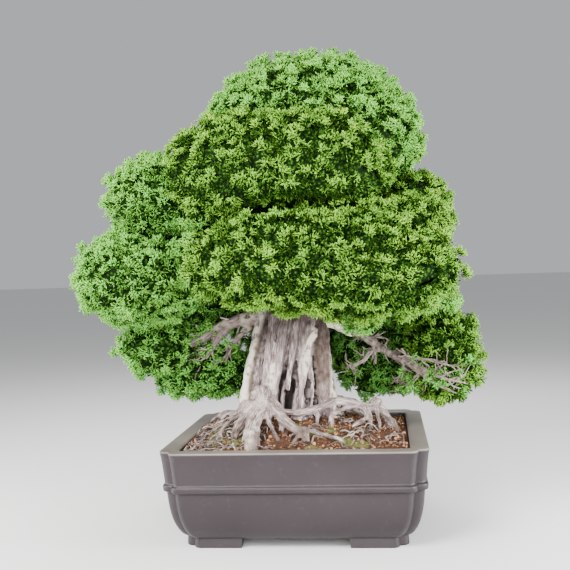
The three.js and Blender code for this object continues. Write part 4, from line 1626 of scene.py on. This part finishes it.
        # More bark colour toward the top of the trunk: partly darker bark, partly painted shadow of the
        # crown.
        top_bark_and_shade = np.clip((z - self.top_bark_and_shade_from) / 60 * (0.6 + 0.5 * mottled), 0, 0.55)
        bark = np.where(on_trunk & (z > self.top_bark_and_shade_from), top_bark_and_shade, bark)
        bark = np.where(is_root, np.clip(0.35 - (z - 170) / 50 - 1.1 * mottled, 0.05, 0.9), bark)
        bark = np.where(is_rough, np.maximum(bark, np.clip(1.5 * (0.42 - flutes), 0, 0.85)), bark)

        # How pale each place is, and the near-white bands over all of it: partly bleached wood and partly
        # painted highlight, which clears the bark and painted shade under them.
        pale = np.where(is_left, edge, 0.0)
        # The right edge of the right vein is paler: partly a cream edge, partly painted highlight.
        pale = np.where(is_right, np.clip((p[:, 0] - 49) / 4, 0, 1), pale)
        pale = np.where(is_root, np.clip(0.8 * mottled - 0.05, 0, 0.5), pale)
        pale = np.where(is_branch, np.clip(1.1 * mottled, 0, 0.7), pale)
        pale = np.where(is_jin, 1.0, pale)
        bleach_and_highlight = front * np.clip(1.5 - 0.55 * self.form.near_lines(wavy, BLEACH_AND_HIGHLIGHT_LINES), 0, 0.86)
        marks = np.column_stack([bark * (1 - bleach_and_highlight), deep * (1 - bleach_and_highlight), np.maximum(pale, bleach_and_highlight)])
        return Skin(points, skin.faces, {"grain": grain, "marks": marks})

    def trunk(self) -> Piece:
        """The trunk with ribs, veins and great roots, as one fused piece.

        Returns:
            The piece.
        """
        noise = Noise(self.seed + 3)
        veins = [Limb(VEIN_LEFT, Surface.LEFT_VEIN), Limb(VEIN_RIGHT, Surface.RIGHT_VEIN)]
        ribs = [self.form.rib(s) for s in RIBS]
        roots = [Limb(s, Surface.ROOT) for s in ROOTS.values()] + self.crawling_roots()
        limbs = veins + ribs + roots
        skins = [self.form.skin()] + [limb.tube(3.0, 18, noise) for limb in limbs]
        fused = self.remeshed(skins, self.voxel)
        made = self.weathered(fused, limbs, True).object("trunk_and_great_roots", self.finish)
        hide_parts("trunk_and_roots")
        return made

    def branches(self) -> Piece:
        """The bare branches low on both sides, fused, with the jin on the right.

        Returns:
            The piece.
        """
        noise = Noise(self.seed + 4)
        limbs = [Limb(s, Surface.BRANCH) for s in OPEN_BRANCHES.values()]
        limbs += [Limb(s, Surface.JIN) for s in JINS]
        fused = self.remeshed([limb.tube(2.5, 14, noise, 0.26) for limb in limbs], self.branch_voxel)
        return self.weathered(fused, limbs, False).object("open_branches", self.finish)

    def strands(self, name: str, limbs: Sequence[Limb], sides: int, spacing: float) -> Piece:
        """Many thin limbs as plain tubes in one piece.

        Args:
            name: The piece's name.
            limbs: The limbs.
            sides: Points in a ring.
            spacing: Distance between rings.

        Returns:
            The piece.
        """
        noise = Noise(self.seed + 5)
        skins = []
        for k, limb in enumerate(limbs):
            skin = limb.tube(spacing, sides, noise)
            _, grain = self.nearest(skin.points, [limb], False)
            grain[:, 2] += self.limb_shift * k
            tone = (k * 0.618) % 1
            mark = {
                Surface.ROOT: (1.0 - 0.8 * tone, 0.35 - 0.3 * tone, 0.35 * tone**3),
                Surface.BRANCH: (0.75 - 0.4 * tone, 0.0, 0.25 * tone),
            }[limb.surface]
            skin.values = {"grain": grain, "marks": np.tile(mark, (len(skin.points), 1))}
            skins.append(skin)
        return Skin.joined(skins).object(name, self.finish)

    def twigs(self) -> list[Limb]:
        """Bare twigs that fork from the open branches.

        Returns:
            The limbs.
        """
        rng = np.random.default_rng(self.seed + 6)
        made = []
        for stations in OPEN_BRANCHES.values():
            centres, radii = Limb(stations, Surface.BRANCH).sampled(6.0)
            for _ in range(3 * len(stations)):
                k = rng.integers(len(centres) // 4, len(centres))
                p = centres[k].copy()
                along = unit(centres[min(k + 1, len(centres) - 1)] - centres[k - 1])
                heading = unit(0.7 * along + rng.normal(0, 0.6, 3) + [0, 0, 0.1])
                radius = min(radii[k] * 0.45, 2.4)
                twig = [(*p, radius)]
                for i in range(rng.integers(3, 6)):
                    heading = unit(heading + rng.normal(0, 0.38, 3))
                    p = p + heading * rng.uniform(6, 12)
                    twig.append((*p, radius * (1 - 0.16 * (i + 1))))
                made.append(Limb(twig, Surface.BRANCH))
                if rng.random() < 0.6:
                    fork = [twig[1]]
                    q = np.array(twig[1][:3])
                    turn = unit(heading + rng.normal(0, 0.8, 3))
                    for j in range(1, 4):
                        q = q + unit(turn + rng.normal(0, 0.3, 3)) * 6
                        fork.append((*q, radius * (0.7 - 0.15 * j)))
                    made.append(Limb(fork, Surface.BRANCH))
        return [twig for twig in made if min(station[2] for station in twig.stations) > self.twig_low]

    def build(self) -> list[Piece]:
        """Makes all the wood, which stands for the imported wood.

        Returns:
            The pieces.
        """
        inner = [Limb(s, Surface.BRANCH) for s in HIDDEN_BRANCHES.values()]
        leader = [(x, y, z, (a + b) / 2) for z, x, y, a, b in SLICES[9:]]
        inner.append(Limb(leader, Surface.BRANCH))
        made = [
            self.trunk(),
            self.branches(),
            self.strands("inner_branches", inner, 12, 6.0),
            self.strands("root_tangle", self.tangle(), 5, 4.5),
            self.strands("bare_twigs", self.twigs(), 5, 4.0),
        ]
        for piece in made:
            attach(piece, BODY)
        return made


# The foliage


class Light(Enum):
    """Where a head of foliage grows, which sets its greens: partly their own colour, partly painted light and
    shade.
    """

    GOLDEN = "yellow-green, in full sun"
    CLEAR = "clear green"
    SHADE = "blue-green, in shade"


# How far each spray turns from the one before it in a tuft, in radians.
GOLDEN_ANGLE = 2.39996

# How fresh and how cool the leaves are in each kind of light, and how light the innermost and outermost are
# painted: partly the leaves' own colour, partly painted light and shade for each head.
GREENS = {
    Light.GOLDEN: (0.75, 0.1, 0.14, 0.9),
    Light.CLEAR: (0.3, 0.7, 0.5, 1.0),
    Light.SHADE: (0.2, 1.0, 0.44, 0.98),
}


def slivers(start: Array, end: Array, radius: Array, face: Array) -> Skin:
    """Thin four-sided slivers, pointed at both ends.

    Args:
        start: Where each begins, shape (n, 3).
        end: Where each ends, shape (n, 3).
        radius: The greatest half width of each.
        face: About which way the broad side of each looks.

    Returns:
        One skin of them all, four points to a sliver: start, two at the sides, end.
    """
    along = unit(end - start)
    wide = unit(np.cross(along, face))
    up = np.cross(wide, along)
    middle = start + 0.58 * (end - start)
    left = middle + radius[:, None] * (wide * 0.95 - up * 0.6)
    right = middle - radius[:, None] * (wide * 0.95 + up * 0.6)
    points = np.stack([start, left, right, end], axis=1).reshape(-1, 3)
    one = np.array([[0, 1, 3], [0, 3, 2], [0, 2, 1], [1, 2, 3]])
    sides = np.einsum("nk,nk->n", np.cross(left - start, end - start), right - start)
    faces = np.where((sides > 0)[:, None, None], one[None, :, ::-1], one[None])
    return Skin(points, (faces + 4 * np.arange(len(start))[:, None, None]).reshape(-1, 3))


def packed_skin(node: str) -> Skin:
    """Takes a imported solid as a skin.

    Args:
        node: Its name.

    Returns:
        The skin, with its doubled corners welded.
    """
    mesh = bpy.data.objects[node].data
    mesh.calc_loop_triangles()
    points = np.array([v.co for v in mesh.vertices], float) / MM - pot_centre()
    faces = np.array([t.vertices for t in mesh.loop_triangles], np.int64)
    key = np.round(points / WELD).astype(np.int64)
    _, first, inverse = np.unique(key, axis=0, return_index=True, return_inverse=True)
    faces = inverse.ravel()[faces]
    whole = (faces[:, 0] != faces[:, 1]) & (faces[:, 1] != faces[:, 2]) & (faces[:, 2] != faces[:, 0])
    return Skin(points[first], faces[whole])


class Crown:
    """All the heads together, to find how open to the air a place is, which sets where tufts grow and how
    much shade is painted on them.
    """

    RAYS = 12
    REACH = 70.0
    CLEAR_BY = 4.0

    def __init__(self, nodes: Sequence[str]) -> None:
        """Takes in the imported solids.

        Args:
            nodes: The names of the heads and the wood.
        """
        whole = Skin.joined([packed_skin(node) for node in nodes])
        self.limits = np.array(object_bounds()) / MM - pot_centre()
        self.tree = BVHTree.FromPolygons(whole.points.tolist(), whole.faces.tolist())

    def openness(self, places: Array, headings: Array, rng: Random) -> Array:
        """The share of rays from each place that meet nothing nearby.

        Args:
            places: The places, shape (n, 3).
            headings: About which way each looks.
            rng: Spreads the rays.

        Returns:
            A share for each place.
        """
        spread = unit(headings[:, None] + rng.normal(0, 0.75, (len(places), self.RAYS, 3)))
        free = np.zeros(len(places))
        for k, place in enumerate(places):
            spot = Vector(place + headings[k] * self.CLEAR_BY)
            free[k] = sum(self.tree.ray_cast(spot, Vector(d), self.REACH)[0] is None for d in spread[k])
        return free / self.RAYS


@dataclass
class Tufts:
    """Small tufts: where each top is, its direction, how far out it is from 0 to 1, which sets the painted
    shade on it, and how fresh it is.
    """

    top: Array
    heading: Array
    out: Array
    fresh: Array


@dataclass
class FoliageHead:
    """One head of foliage: a dark core, thickly set with small tufts that are sprays of scale-leaf cords."""

    node: str
    light: Light
    finish: Material
    crown: Crown
    seed: int
    tuft_area: float = 130.0
    bare_area: float = 330.0
    sprays_in_tuft: int = 4
    tuft_radius: float = 9.4
    cord_length: tuple[float, float] = (12.0, 18.0)
    cord_radius: float = 1.55
    side_cords: int = 3
    low_clump: float = 2.5
    hollow_at: float = -0.66
    core_sunk: float = 8.0

    def clumps(self, skin: Skin) -> tuple[Array, Array, Array]:
        """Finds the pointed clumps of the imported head.

        Args:
            skin: The welded head.

        Returns:
            The index of each clump's peak, the three corners of its base, and a mask of the faces that are
            part of no clump.
        """
        n = len(skin.points)
        count = np.bincount(skin.faces.ravel(), minlength=n)
        order = np.argsort(skin.faces.ravel(), kind="stable")
        starts = np.concatenate([[0], np.cumsum(count)])
        peaks, bases = [], []
        for v in np.nonzero(count == 3)[0]:
            rows = order[starts[v] : starts[v + 1]] // 3
            ring = [k for k in dict.fromkeys(skin.faces[rows].ravel().tolist()) if k != v]
            if len(ring) != 3:
                continue
            a, b, c = skin.points[ring]
            middle = (a + b + c) / 3
            pa, pb, pc = skin.points[skin.faces[rows[0]]]
            rise = np.dot(skin.points[v] - middle, unit(np.cross(b - a, c - a)))
            turned_in = np.dot(np.cross(pb - pa, pc - pa), skin.points[v] - middle) < 0
            if turned_in or abs(rise) < self.low_clump:
                continue
            peaks.append(v)
            bases.append(ring if rise > 0 else [ring[0], ring[2], ring[1]])
        peak_index = np.array(peaks, np.int64)
        is_peak = np.zeros(n, bool)
        is_peak[peak_index] = True
        bare = ~is_peak[skin.faces].any(axis=1)
        return peak_index, np.array(bases, np.int64).reshape(-1, 3), bare

    def scattered(self, area: Array, share: float, rng: Random) -> tuple[Array, Array]:
        """Even random places on triangles.

        Args:
            area: The area of each triangle.
            share: The area for each place.
            rng: The random source.

        Returns:
            The triangle of each place, and its weights on the three corners.
        """
        many = np.floor(area / share + rng.random(len(area))).astype(int)
        who = np.repeat(np.arange(len(area)), many)
        rank = np.arange(len(who)) - np.repeat(np.cumsum(many) - many, many)
        shift = rng.random((len(area), 2))[who]
        u, v = ((shift + rank[:, None] * [0.7549, 0.5698]) % 1).T
        over = u + v > 1
        u, v = np.where(over, 1 - u, u), np.where(over, 1 - v, v)
        return who, np.column_stack([1 - u - v, u, v])

    def on_clumps(self, skin: Skin, rng: Random) -> Tufts:
        """Places small tufts over the clumps, which they make rounded.

        Args:
            skin: The welded head.
            rng: The head's random source.

        Returns:
            The tufts.
        """
        peaks, bases, _ = self.clumps(skin)
        corners = [skin.points[bases[:, k]] for k in range(3)]
        a, b, c = corners
        peak, middle = skin.points[peaks], (a + b + c) / 3
        area = np.linalg.norm(np.cross(b - a, c - a), axis=1) / 2
        who, w = self.scattered(area, self.tuft_area, rng)
        base = sum(w[:, k, None] * corners[k][who] for k in range(3))
        lean, rise = unit(peak - middle)[who], np.linalg.norm(peak - middle, axis=1)[who]
        edge = 1 - 3 * w.min(axis=1)
        height = rise * (1.02 - 0.92 * edge**1.9) + rng.normal(0, 1.2, len(who))
        top = middle[who] + (base - middle[who]) * 1.02 + lean * height[:, None]
        away = (base - middle[who]) / np.sqrt(area[who])[:, None]
        heading = unit(lean + 1.15 * away + rng.normal(0, 0.16, (len(who), 3)) + [0, 0, 0.1])
        # Painted shade: tufts toward the edge of a clump are darker, in the gaps between clumps.
        out = 0.98 - 0.72 * edge**2.6 + rng.normal(0, 0.05, len(who))
        clump_fresh = rng.normal(0, 0.16, len(peaks))
        patches = 0.8 * Noise(self.seed).fractal(top / 60.0, 2)
        return Tufts(top, heading, out, patches + clump_fresh[who] + rng.normal(0, 0.08, len(who)))

    def between_clumps(self, skin: Skin, rng: Random) -> Tufts:
        """Places small tufts on the faces between the clumps.

        Args:
            skin: The welded head.
            rng: The head's random source.

        Returns:
            The tufts.
        """
        _, _, bare = self.clumps(skin)
        a, b, c = (skin.points[skin.faces[bare, k]] for k in range(3))
        cross = np.cross(b - a, c - a)
        face, w = self.scattered(np.linalg.norm(cross, axis=1) / 2, self.bare_area, rng)
        spot = sum(w[:, k, None] * corner[face] for k, corner in enumerate((a, b, c)))
        outward = unit(cross)[face]
        n = len(face)
        top = spot + outward * rng.uniform(1, 5, (n, 1))
        heading = unit(outward + rng.normal(0, 0.3, (n, 3)))
        return Tufts(top, heading, np.full(n, 0.6), rng.normal(-0.3, 0.2, n))

    def tufts(self, skin: Skin, rng: Random) -> Tufts:
        """Places all the small tufts, leaves out those that are shut in by other heads, and paints the rest
        darker the more they are shut in or lie in a hollow.

        Args:
            skin: The welded head.
            rng: The head's random source.

        Returns:
            The tufts.
        """
        kinds = (self.on_clumps(skin, rng), self.between_clumps(skin, rng))
        tops, headings, outs, news = (np.concatenate(pair) for pair in zip(*map(astuple, kinds)))
        under = np.clip(-headings[:, 2:], 0, 1)
        tops = tops + headings * (1.0 - 7.0 * under)
        headings = unit(headings - [0.0, 0.0, 0.35] * under)
        free = self.crown.openness(tops, headings, rng)
        hollow = Noise(self.seed).fractal(tops / [36.0, 36.0, 27.0] + 9.0, 2) - self.hollow_at
        kept = (rng.random(len(tops)) < 0.03 + 5.0 * free) & (hollow > 0)
        # Painted shade: tufts that are shut in by other heads or lie in a hollow are painted darker.
        outs = outs * (0.56 + 0.44 * np.minimum(1, free * 1.3)) * np.clip(0.4 + 2.4 * hollow, 0.4, 1)
        return Tufts(tops[kept], headings[kept], outs[kept], news[kept])

    def marked(self, skin: Skin, levels: Sequence[Array], young: Array, cool: Array) -> Skin:
        """Gives cords their leaf values.

        Args:
            skin: The cords, of four points each.
            levels: How far out each of the four points is, which sets the painted shade on it.
            young: How fresh each cord is.
            cool: How cool its green is.

        Returns:
            The same skin.
        """
        level = np.clip(np.column_stack(levels), 0.2, 1).ravel()
        skin.values = {"leaf": np.column_stack([level, np.repeat(young, 4), np.repeat(cool, 4)])}
        return skin

    def cords(self, tufts: Tufts, rng: Random) -> Skin:
        """The cords of tufts: each tuft is a few flat sprays, and a spray is one cord with side cords.

        Args:
            tufts: The tufts.
            rng: The head's random source.

        Returns:
            The skin of all the cords.
        """
        top, lean, each = tufts.top, tufts.heading, self.sprays_in_tuft
        n = len(top) * each
        which, turn_in_tuft = np.repeat(np.arange(len(top)), each), np.tile(np.arange(each), len(top))
        ref = unit(np.cross(lean, unit(rng.normal(0, 1, (len(top), 3)))))[which]
        other = np.cross(lean[which], ref)
        turn = GOLDEN_ANGLE * turn_in_tuft + rng.uniform(0, 0.9, n)
        span = np.sqrt((turn_in_tuft + rng.uniform(0.1, 0.8, n)) / each)
        sideways = (ref * np.cos(turn)[:, None] + other * np.sin(turn)[:, None]) * span[:, None]
        tip = top[which] + self.tuft_radius * sideways - lean[which] * (2.6 * span**2)[:, None]
        heading = unit(lean[which] + 0.8 * sideways + rng.normal(0, 0.16, (n, 3)))
        # Painted shade: sprays further from the middle of their tuft are darker.
        out = tufts.out[which] - 0.22 * span**2 + rng.normal(0, 0.09, n)
        fresh = tufts.fresh[which] + rng.normal(0, 0.2, n)
        length = rng.uniform(*self.cord_length, n)
        root = tip - heading * length[:, None]
        side = unit(np.cross(heading, unit(rng.normal(0, 1, (n, 3)))))
        face = np.cross(side, heading)
        # Painted light and shade: the head's kind of light sets how dark its innermost cords and how light
        # its outermost are painted.
        fresh_base, cool_base, inner, outer = GREENS[self.light]
        out = inner + (outer - inner) * np.clip(out, 0.12, 1)
        young = np.clip(fresh_base + 0.6 * fresh, 0, 1)
        cool = np.clip(cool_base + rng.normal(0, 0.14, n), 0, 1)
        # Painted shade: each cord is darker toward its root; it is lighter toward its tip, partly fresh
        # growth and partly painted light. Side cords near a spray's root are darker.
        main = slivers(root, tip, self.cord_radius * rng.uniform(0.95, 1.2, n), face)
        skins = [self.marked(main, [out - 0.4, out - 0.1, out - 0.1, out + 0.1], young, cool)]
        for j in range(self.side_cords):
            place = 0.2 + 0.6 * (j + rng.uniform(0, 0.6, n)) / self.side_cords
            swing = np.radians(rng.uniform(30, 56, n)) * (1 if j % 2 else -1)
            turned = heading * np.cos(swing)[:, None] + side * np.sin(swing)[:, None]
            turned = unit(turned + rng.normal(0, 0.14, (n, 3)))
            start = root + heading * (length * place)[:, None]
            reach = length * (0.82 - 0.42 * place)
            width = self.cord_radius * rng.uniform(0.85, 1.15, n)
            made = slivers(start, start + turned * reach[:, None], width, face)
            lit = out - 0.14 * (1 - place) + rng.normal(0, 0.09, n)
            skins.append(self.marked(made, [lit - 0.22, lit - 0.06, lit - 0.06, lit + 0.12], young, cool))
        whole = Skin.joined(skins)
        whole.points = np.clip(whole.points, *self.crown.limits)
        return whole

    def core(self, skin: Skin) -> Skin:
        """The inner mass, painted near-black as shade: lower, rounded clumps under the tufts.

        Args:
            skin: The welded head.

        Returns:
            The closed skin, with its leaf values.
        """
        peaks, bases, _ = self.clumps(skin)
        points = skin.points.copy()
        middle = points[bases].mean(axis=1)
        lift = points[peaks] - middle
        points[peaks] = middle + 0.52 * lift
        raised = np.zeros((len(points), 3))
        raised[peaks] = lift
        faces = skin.faces
        edges = np.sort(np.concatenate([faces[:, [0, 1]], faces[:, [1, 2]], faces[:, [2, 0]]]), axis=1)
        pairs, index = np.unique(edges, axis=0, return_inverse=True)
        index = index.ravel().reshape(3, -1) + len(points)
        halfway = points[pairs].mean(axis=1) + 0.12 * raised[pairs].sum(axis=1)
        points = np.concatenate([points, halfway])
        (a, b, c), (ab, bc, ca) = faces.T, index
        quarters = [(a, ab, ca), (ab, b, bc), (ca, bc, c), (ab, bc, ca)]
        made = Skin(points, np.concatenate([np.stack(three, 1) for three in quarters]))
        uneven = Noise(self.seed + 1).fractal(made.points / 12.0, 2)
        made.points = made.points - corner_normals(made) * (self.core_sunk + 3.0 * uneven)[:, None]
        # Painted shade: the core gets a very low level, so it is painted near-black.
        level = np.clip(0.06 + 0.05 * uneven, 0, 0.12)
        zero = np.zeros(len(made.points))
        made.values = {"leaf": np.column_stack([level, zero, zero])}
        return made

    def build(self) -> Piece:
        """Makes the head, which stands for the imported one.

        Returns:
            The piece.
        """
        skin, rng = packed_skin(self.node), np.random.default_rng(self.seed)
        cords = self.cords(self.tufts(skin, rng), rng)
        made = Skin.joined([self.core(skin), cords]).object(self.node + "_sprays", self.finish)
        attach(made, BODY)
        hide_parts(self.node)
        return made


# The lumps of loose foliage over the seams between heads: the middle's x, y and z and three half sizes.
SEAMS = {
    Light.CLEAR: (
        (-262, -28, 470, 56, 74, 34),
        (-252, 10, 340, 52, 60, 34),
        (-150, -118, 424, 30, 40, 64),
        (-140, -60, 486, 60, 70, 26),
        (-168, 60, 312, 66, 60, 26),
        (-72, 92, 334, 52, 30, 34),
        (222, 20, 352, 50, 70, 30),
        (104, -84, 326, 34, 22, 24),
    ),
    Light.GOLDEN: (
        (-92, -138, 498, 36, 30, 16),
        (84, -138, 503, 84, 34, 18),
    ),
}


@dataclass
class Bridges:
    """Loose foliage that grows over the seams between heads."""

    head: FoliageHead
    lumps: Stations
    tuft_area: float = 300.0
    least_free: float = 0.12
    seed: int = 83

    def size(self, half: Sequence[float]) -> float:
        """About how much surface a rounded lump has, from its three half sizes."""
        a, b, c = half
        return 4 * math.pi * (((a * b) ** 1.6 + (a * c) ** 1.6 + (b * c) ** 1.6) / 3) ** 0.625

    def build(self, name: str) -> Piece:
        """Makes the tufts as one piece.

        Args:
            name: The piece's name.

        Returns:
            The piece.
        """
        rng = np.random.default_rng(self.seed)
        tops, leans = [], []
        for x, y, z, *half in self.lumps:
            way = unit(rng.normal(0, 1, (int(self.size(half) / self.tuft_area), 3)))
            tops.append(np.array([x, y, z]) + way * half * rng.uniform(0.86, 1.04, (len(way), 1)))
            leans.append(unit(way / half))
        places, ways = np.concatenate(tops), np.concatenate(leans)
        free = self.head.crown.openness(places, ways, rng)
        kept = free > self.least_free
        places, ways, free = places[kept], ways[kept], free[kept]
        # Painted shade: the more shut in a tuft is, the darker it is painted.
        out = 0.5 + 0.42 * free + rng.normal(0, 0.06, len(free))
        skin = self.head.cords(Tufts(places, ways, out, rng.normal(-0.05, 0.3, len(free))), rng)
        made = skin.object(name, self.head.finish)
        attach(made, BODY)
        return made


@dataclass
class TwigTufts:
    """Loose tufts at the ends of the bare twigs, low on both sides."""

    twigs: Sequence[Limb]
    head: FoliageHead
    share: float = 0.36
    clear: tuple[float, float] = (-105.0, 165.0)
    seed: int = 71

    def build(self) -> Piece:
        """Makes the tufts as one piece.

        Returns:
            The piece.
        """
        rng = np.random.default_rng(self.seed)
        tops, leans = [], []
        for twig in self.twigs:
            end, before = np.array(twig.stations[-1][:3]), np.array(twig.stations[-2][:3])
            if rng.random() < self.share and not self.clear[0] < end[0] < self.clear[1]:
                for _ in range(2):
                    tops.append(end + rng.normal(0, 6, 3))
                    leans.append(unit(unit(end - before) + rng.normal(0, 0.4, 3)))
        n = len(tops)
        tufts = Tufts(np.array(tops), np.array(leans), rng.uniform(0.55, 0.85, n), rng.normal(0, 0.3, n))
        skin = self.head.cords(tufts, rng)
        made = skin.object("twig_tufts", self.head.finish)
        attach(made, BODY)
        return made


# The studio


# The lamps: where each stands, the length of its side in metres, its power in watts and its tint.
LAMPS = {
    "key": ((-1050, -1500, 1500), 1.0, 136, (1.0, 0.985, 0.96)),
    "front": ((150, -2100, 330), 1.5, 104, (1.0, 0.99, 0.98)),
    "fill": ((1500, -800, 700), 1.1, 44, (0.96, 0.98, 1.0)),
    "left_edge": ((-1300, -260, 320), 0.7, 26, (1.0, 1.0, 1.0)),
    "right_edge": ((1300, -260, 320), 0.7, 34, (1.0, 1.0, 1.0)),
    "crown": ((200, 1100, 1700), 1.2, 30, (1.0, 1.0, 1.0)),
}


@dataclass
class Studio:
    """A plain pale floor, soft light from large lamps, and the camera in front of the tree."""

    floor_finish: Material
    floor_half: float = 40000.0
    aim_z: float = 380.0
    camera_at: tuple[float, float, float] = (142.0, -1512.8, 408.8)
    yaw: float = -6.17
    dip: float = 0.82
    roll: float = -1.86
    lens: float = 58.09
    sensor: float = 36.0
    sky_colour: Colour = (0.82, 0.84, 0.86)
    sky_strength: float = 0.6

    def place(self, p: Sequence[float]) -> Vector:
        """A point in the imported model's frame, in metres."""
        return Vector((np.array(p) + pot_centre()) * MM)

    def camera(self) -> None:
        """The camera at the height, distance and turn that the pot's edges give."""
        yaw, dip, roll = (math.radians(v) for v in (self.yaw, self.dip, self.roll))
        ahead = np.array([math.sin(yaw) * math.cos(dip), math.cos(yaw) * math.cos(dip), -math.sin(dip)])
        level = np.array([math.cos(yaw), -math.sin(yaw), 0.0])
        up = np.cross(level, ahead)
        right = math.cos(roll) * level + math.sin(roll) * up
        over = -math.sin(roll) * level + math.cos(roll) * up
        data = bpy.data.cameras.new("camera")
        data.lens, data.sensor_width = self.lens, self.sensor
        data.clip_start, data.clip_end = 0.05, 100
        made = bpy.data.objects.new("camera", data)
        bpy.context.scene.collection.objects.link(made)
        turn = Matrix(np.column_stack([right, over, -ahead]).tolist()).to_4x4()
        made.matrix_world = Matrix.Translation(self.place(self.camera_at)) @ turn
        bpy.context.scene.camera = made

    def lamp(self, name: str, at: Sequence[float], size: float, power: float, tint: Colour) -> None:
        """A large square lamp that points at the middle of the tree.

        Args:
            name: The lamp's name.
            at: Where it stands.
            size: The length of its side in metres.
            power: Its power in watts.
            tint: Its colour.
        """
        data = bpy.data.lights.new(name, "AREA")
        data.shape, data.size, data.energy, data.color = "SQUARE", size, power, tint
        made = bpy.data.objects.new(name, data)
        made.location = self.place(at)
        made.rotation_mode = "QUATERNION"
        aim = self.place((0.0, 0.0, self.aim_z)) - made.location
        made.rotation_quaternion = aim.to_track_quat("-Z", "Y")
        bpy.context.scene.collection.objects.link(made)

    def build(self) -> None:
        """Makes the floor, the sky, the lamps and the camera."""
        half = self.floor_half
        corners = np.array([(-half, -half, 0.0), (half, -half, 0.0), (half, half, 0.0), (-half, half, 0.0)])
        floor = Skin(corners, np.array([[0, 1, 2], [0, 2, 3]])).object("floor", self.floor_finish)
        floor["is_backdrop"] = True
        world = bpy.data.worlds.new("sky")
        world.use_nodes = True
        sky = world.node_tree.nodes["Background"]
        sky.inputs["Color"].default_value = (*self.sky_colour, 1)
        sky.inputs["Strength"].default_value = self.sky_strength
        bpy.context.scene.world = world
        for name, settings in LAMPS.items():
            self.lamp(name, *settings)
        self.camera()


# The heads of foliage in each kind of light.
HEADS = {
    Light.GOLDEN: ("upper_front", "front", "right_mid", "right_back", "right_end", "back_right", "back_mid"),
    Light.CLEAR: ("apex", "upper_left", "left", "left_end", "back_left"),
    Light.SHADE: ("left_low", "right_curtain", "back_low"),
}


def main() -> None:
    """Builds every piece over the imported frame."""
    logging.basicConfig(level=logging.INFO, format="%(message)s")
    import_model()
    leaves = Foliage("scale_leaves", 0.55, 0.3).build()
    Pot(Stoneware("stoneware", 0.4, 0.3).build()).build()
    log.info("pot built")
    screen = Plain("screen_mesh", 0.6, 0.3, (0.025, 0.028, 0.027)).build()
    for side in ("left", "right"):
        node = bpy.data.objects[f"drain_screen_{side}"]
        node.data.materials.clear()
        node.data.materials.append(screen)
    soil = SoilBed(Crumb("soil_crumb", 0.95, 0.6).build())
    soil.build()
    log.info("soil built")
    timber = Timber(Wood("weathered_wood", 0.75, 0.85).build(), soil)
    for piece in timber.build():
        log.info("%s: %d faces", piece.name, len(piece.data.polygons))
    heads = [(name, light) for light, names in HEADS.items() for name in names]
    crown = Crown([f"foliage_{name}" for name, _ in heads] + ["trunk_and_roots"])
    for index, (name, light) in enumerate(heads):
        piece = FoliageHead(f"foliage_{name}", light, leaves, crown, 400 + index).build()
        log.info("%s: %d faces", piece.name, len(piece.data.polygons))
    shade = FoliageHead("twigs", Light.SHADE, leaves, crown, 470)
    TwigTufts(timber.twigs(), shade).build()
    for index, (light, lumps) in enumerate(SEAMS.items()):
        head = FoliageHead("seams", light, leaves, crown, 480 + index)
        Bridges(head, lumps).build(f"seam_tufts_{light.name.lower()}")
    Studio(Plain("pale_floor", 0.6, 0.05, (0.72, 0.72, 0.71), 0.4, 0.03).build()).build()
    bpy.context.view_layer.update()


if __name__ == "__main__":
    main()
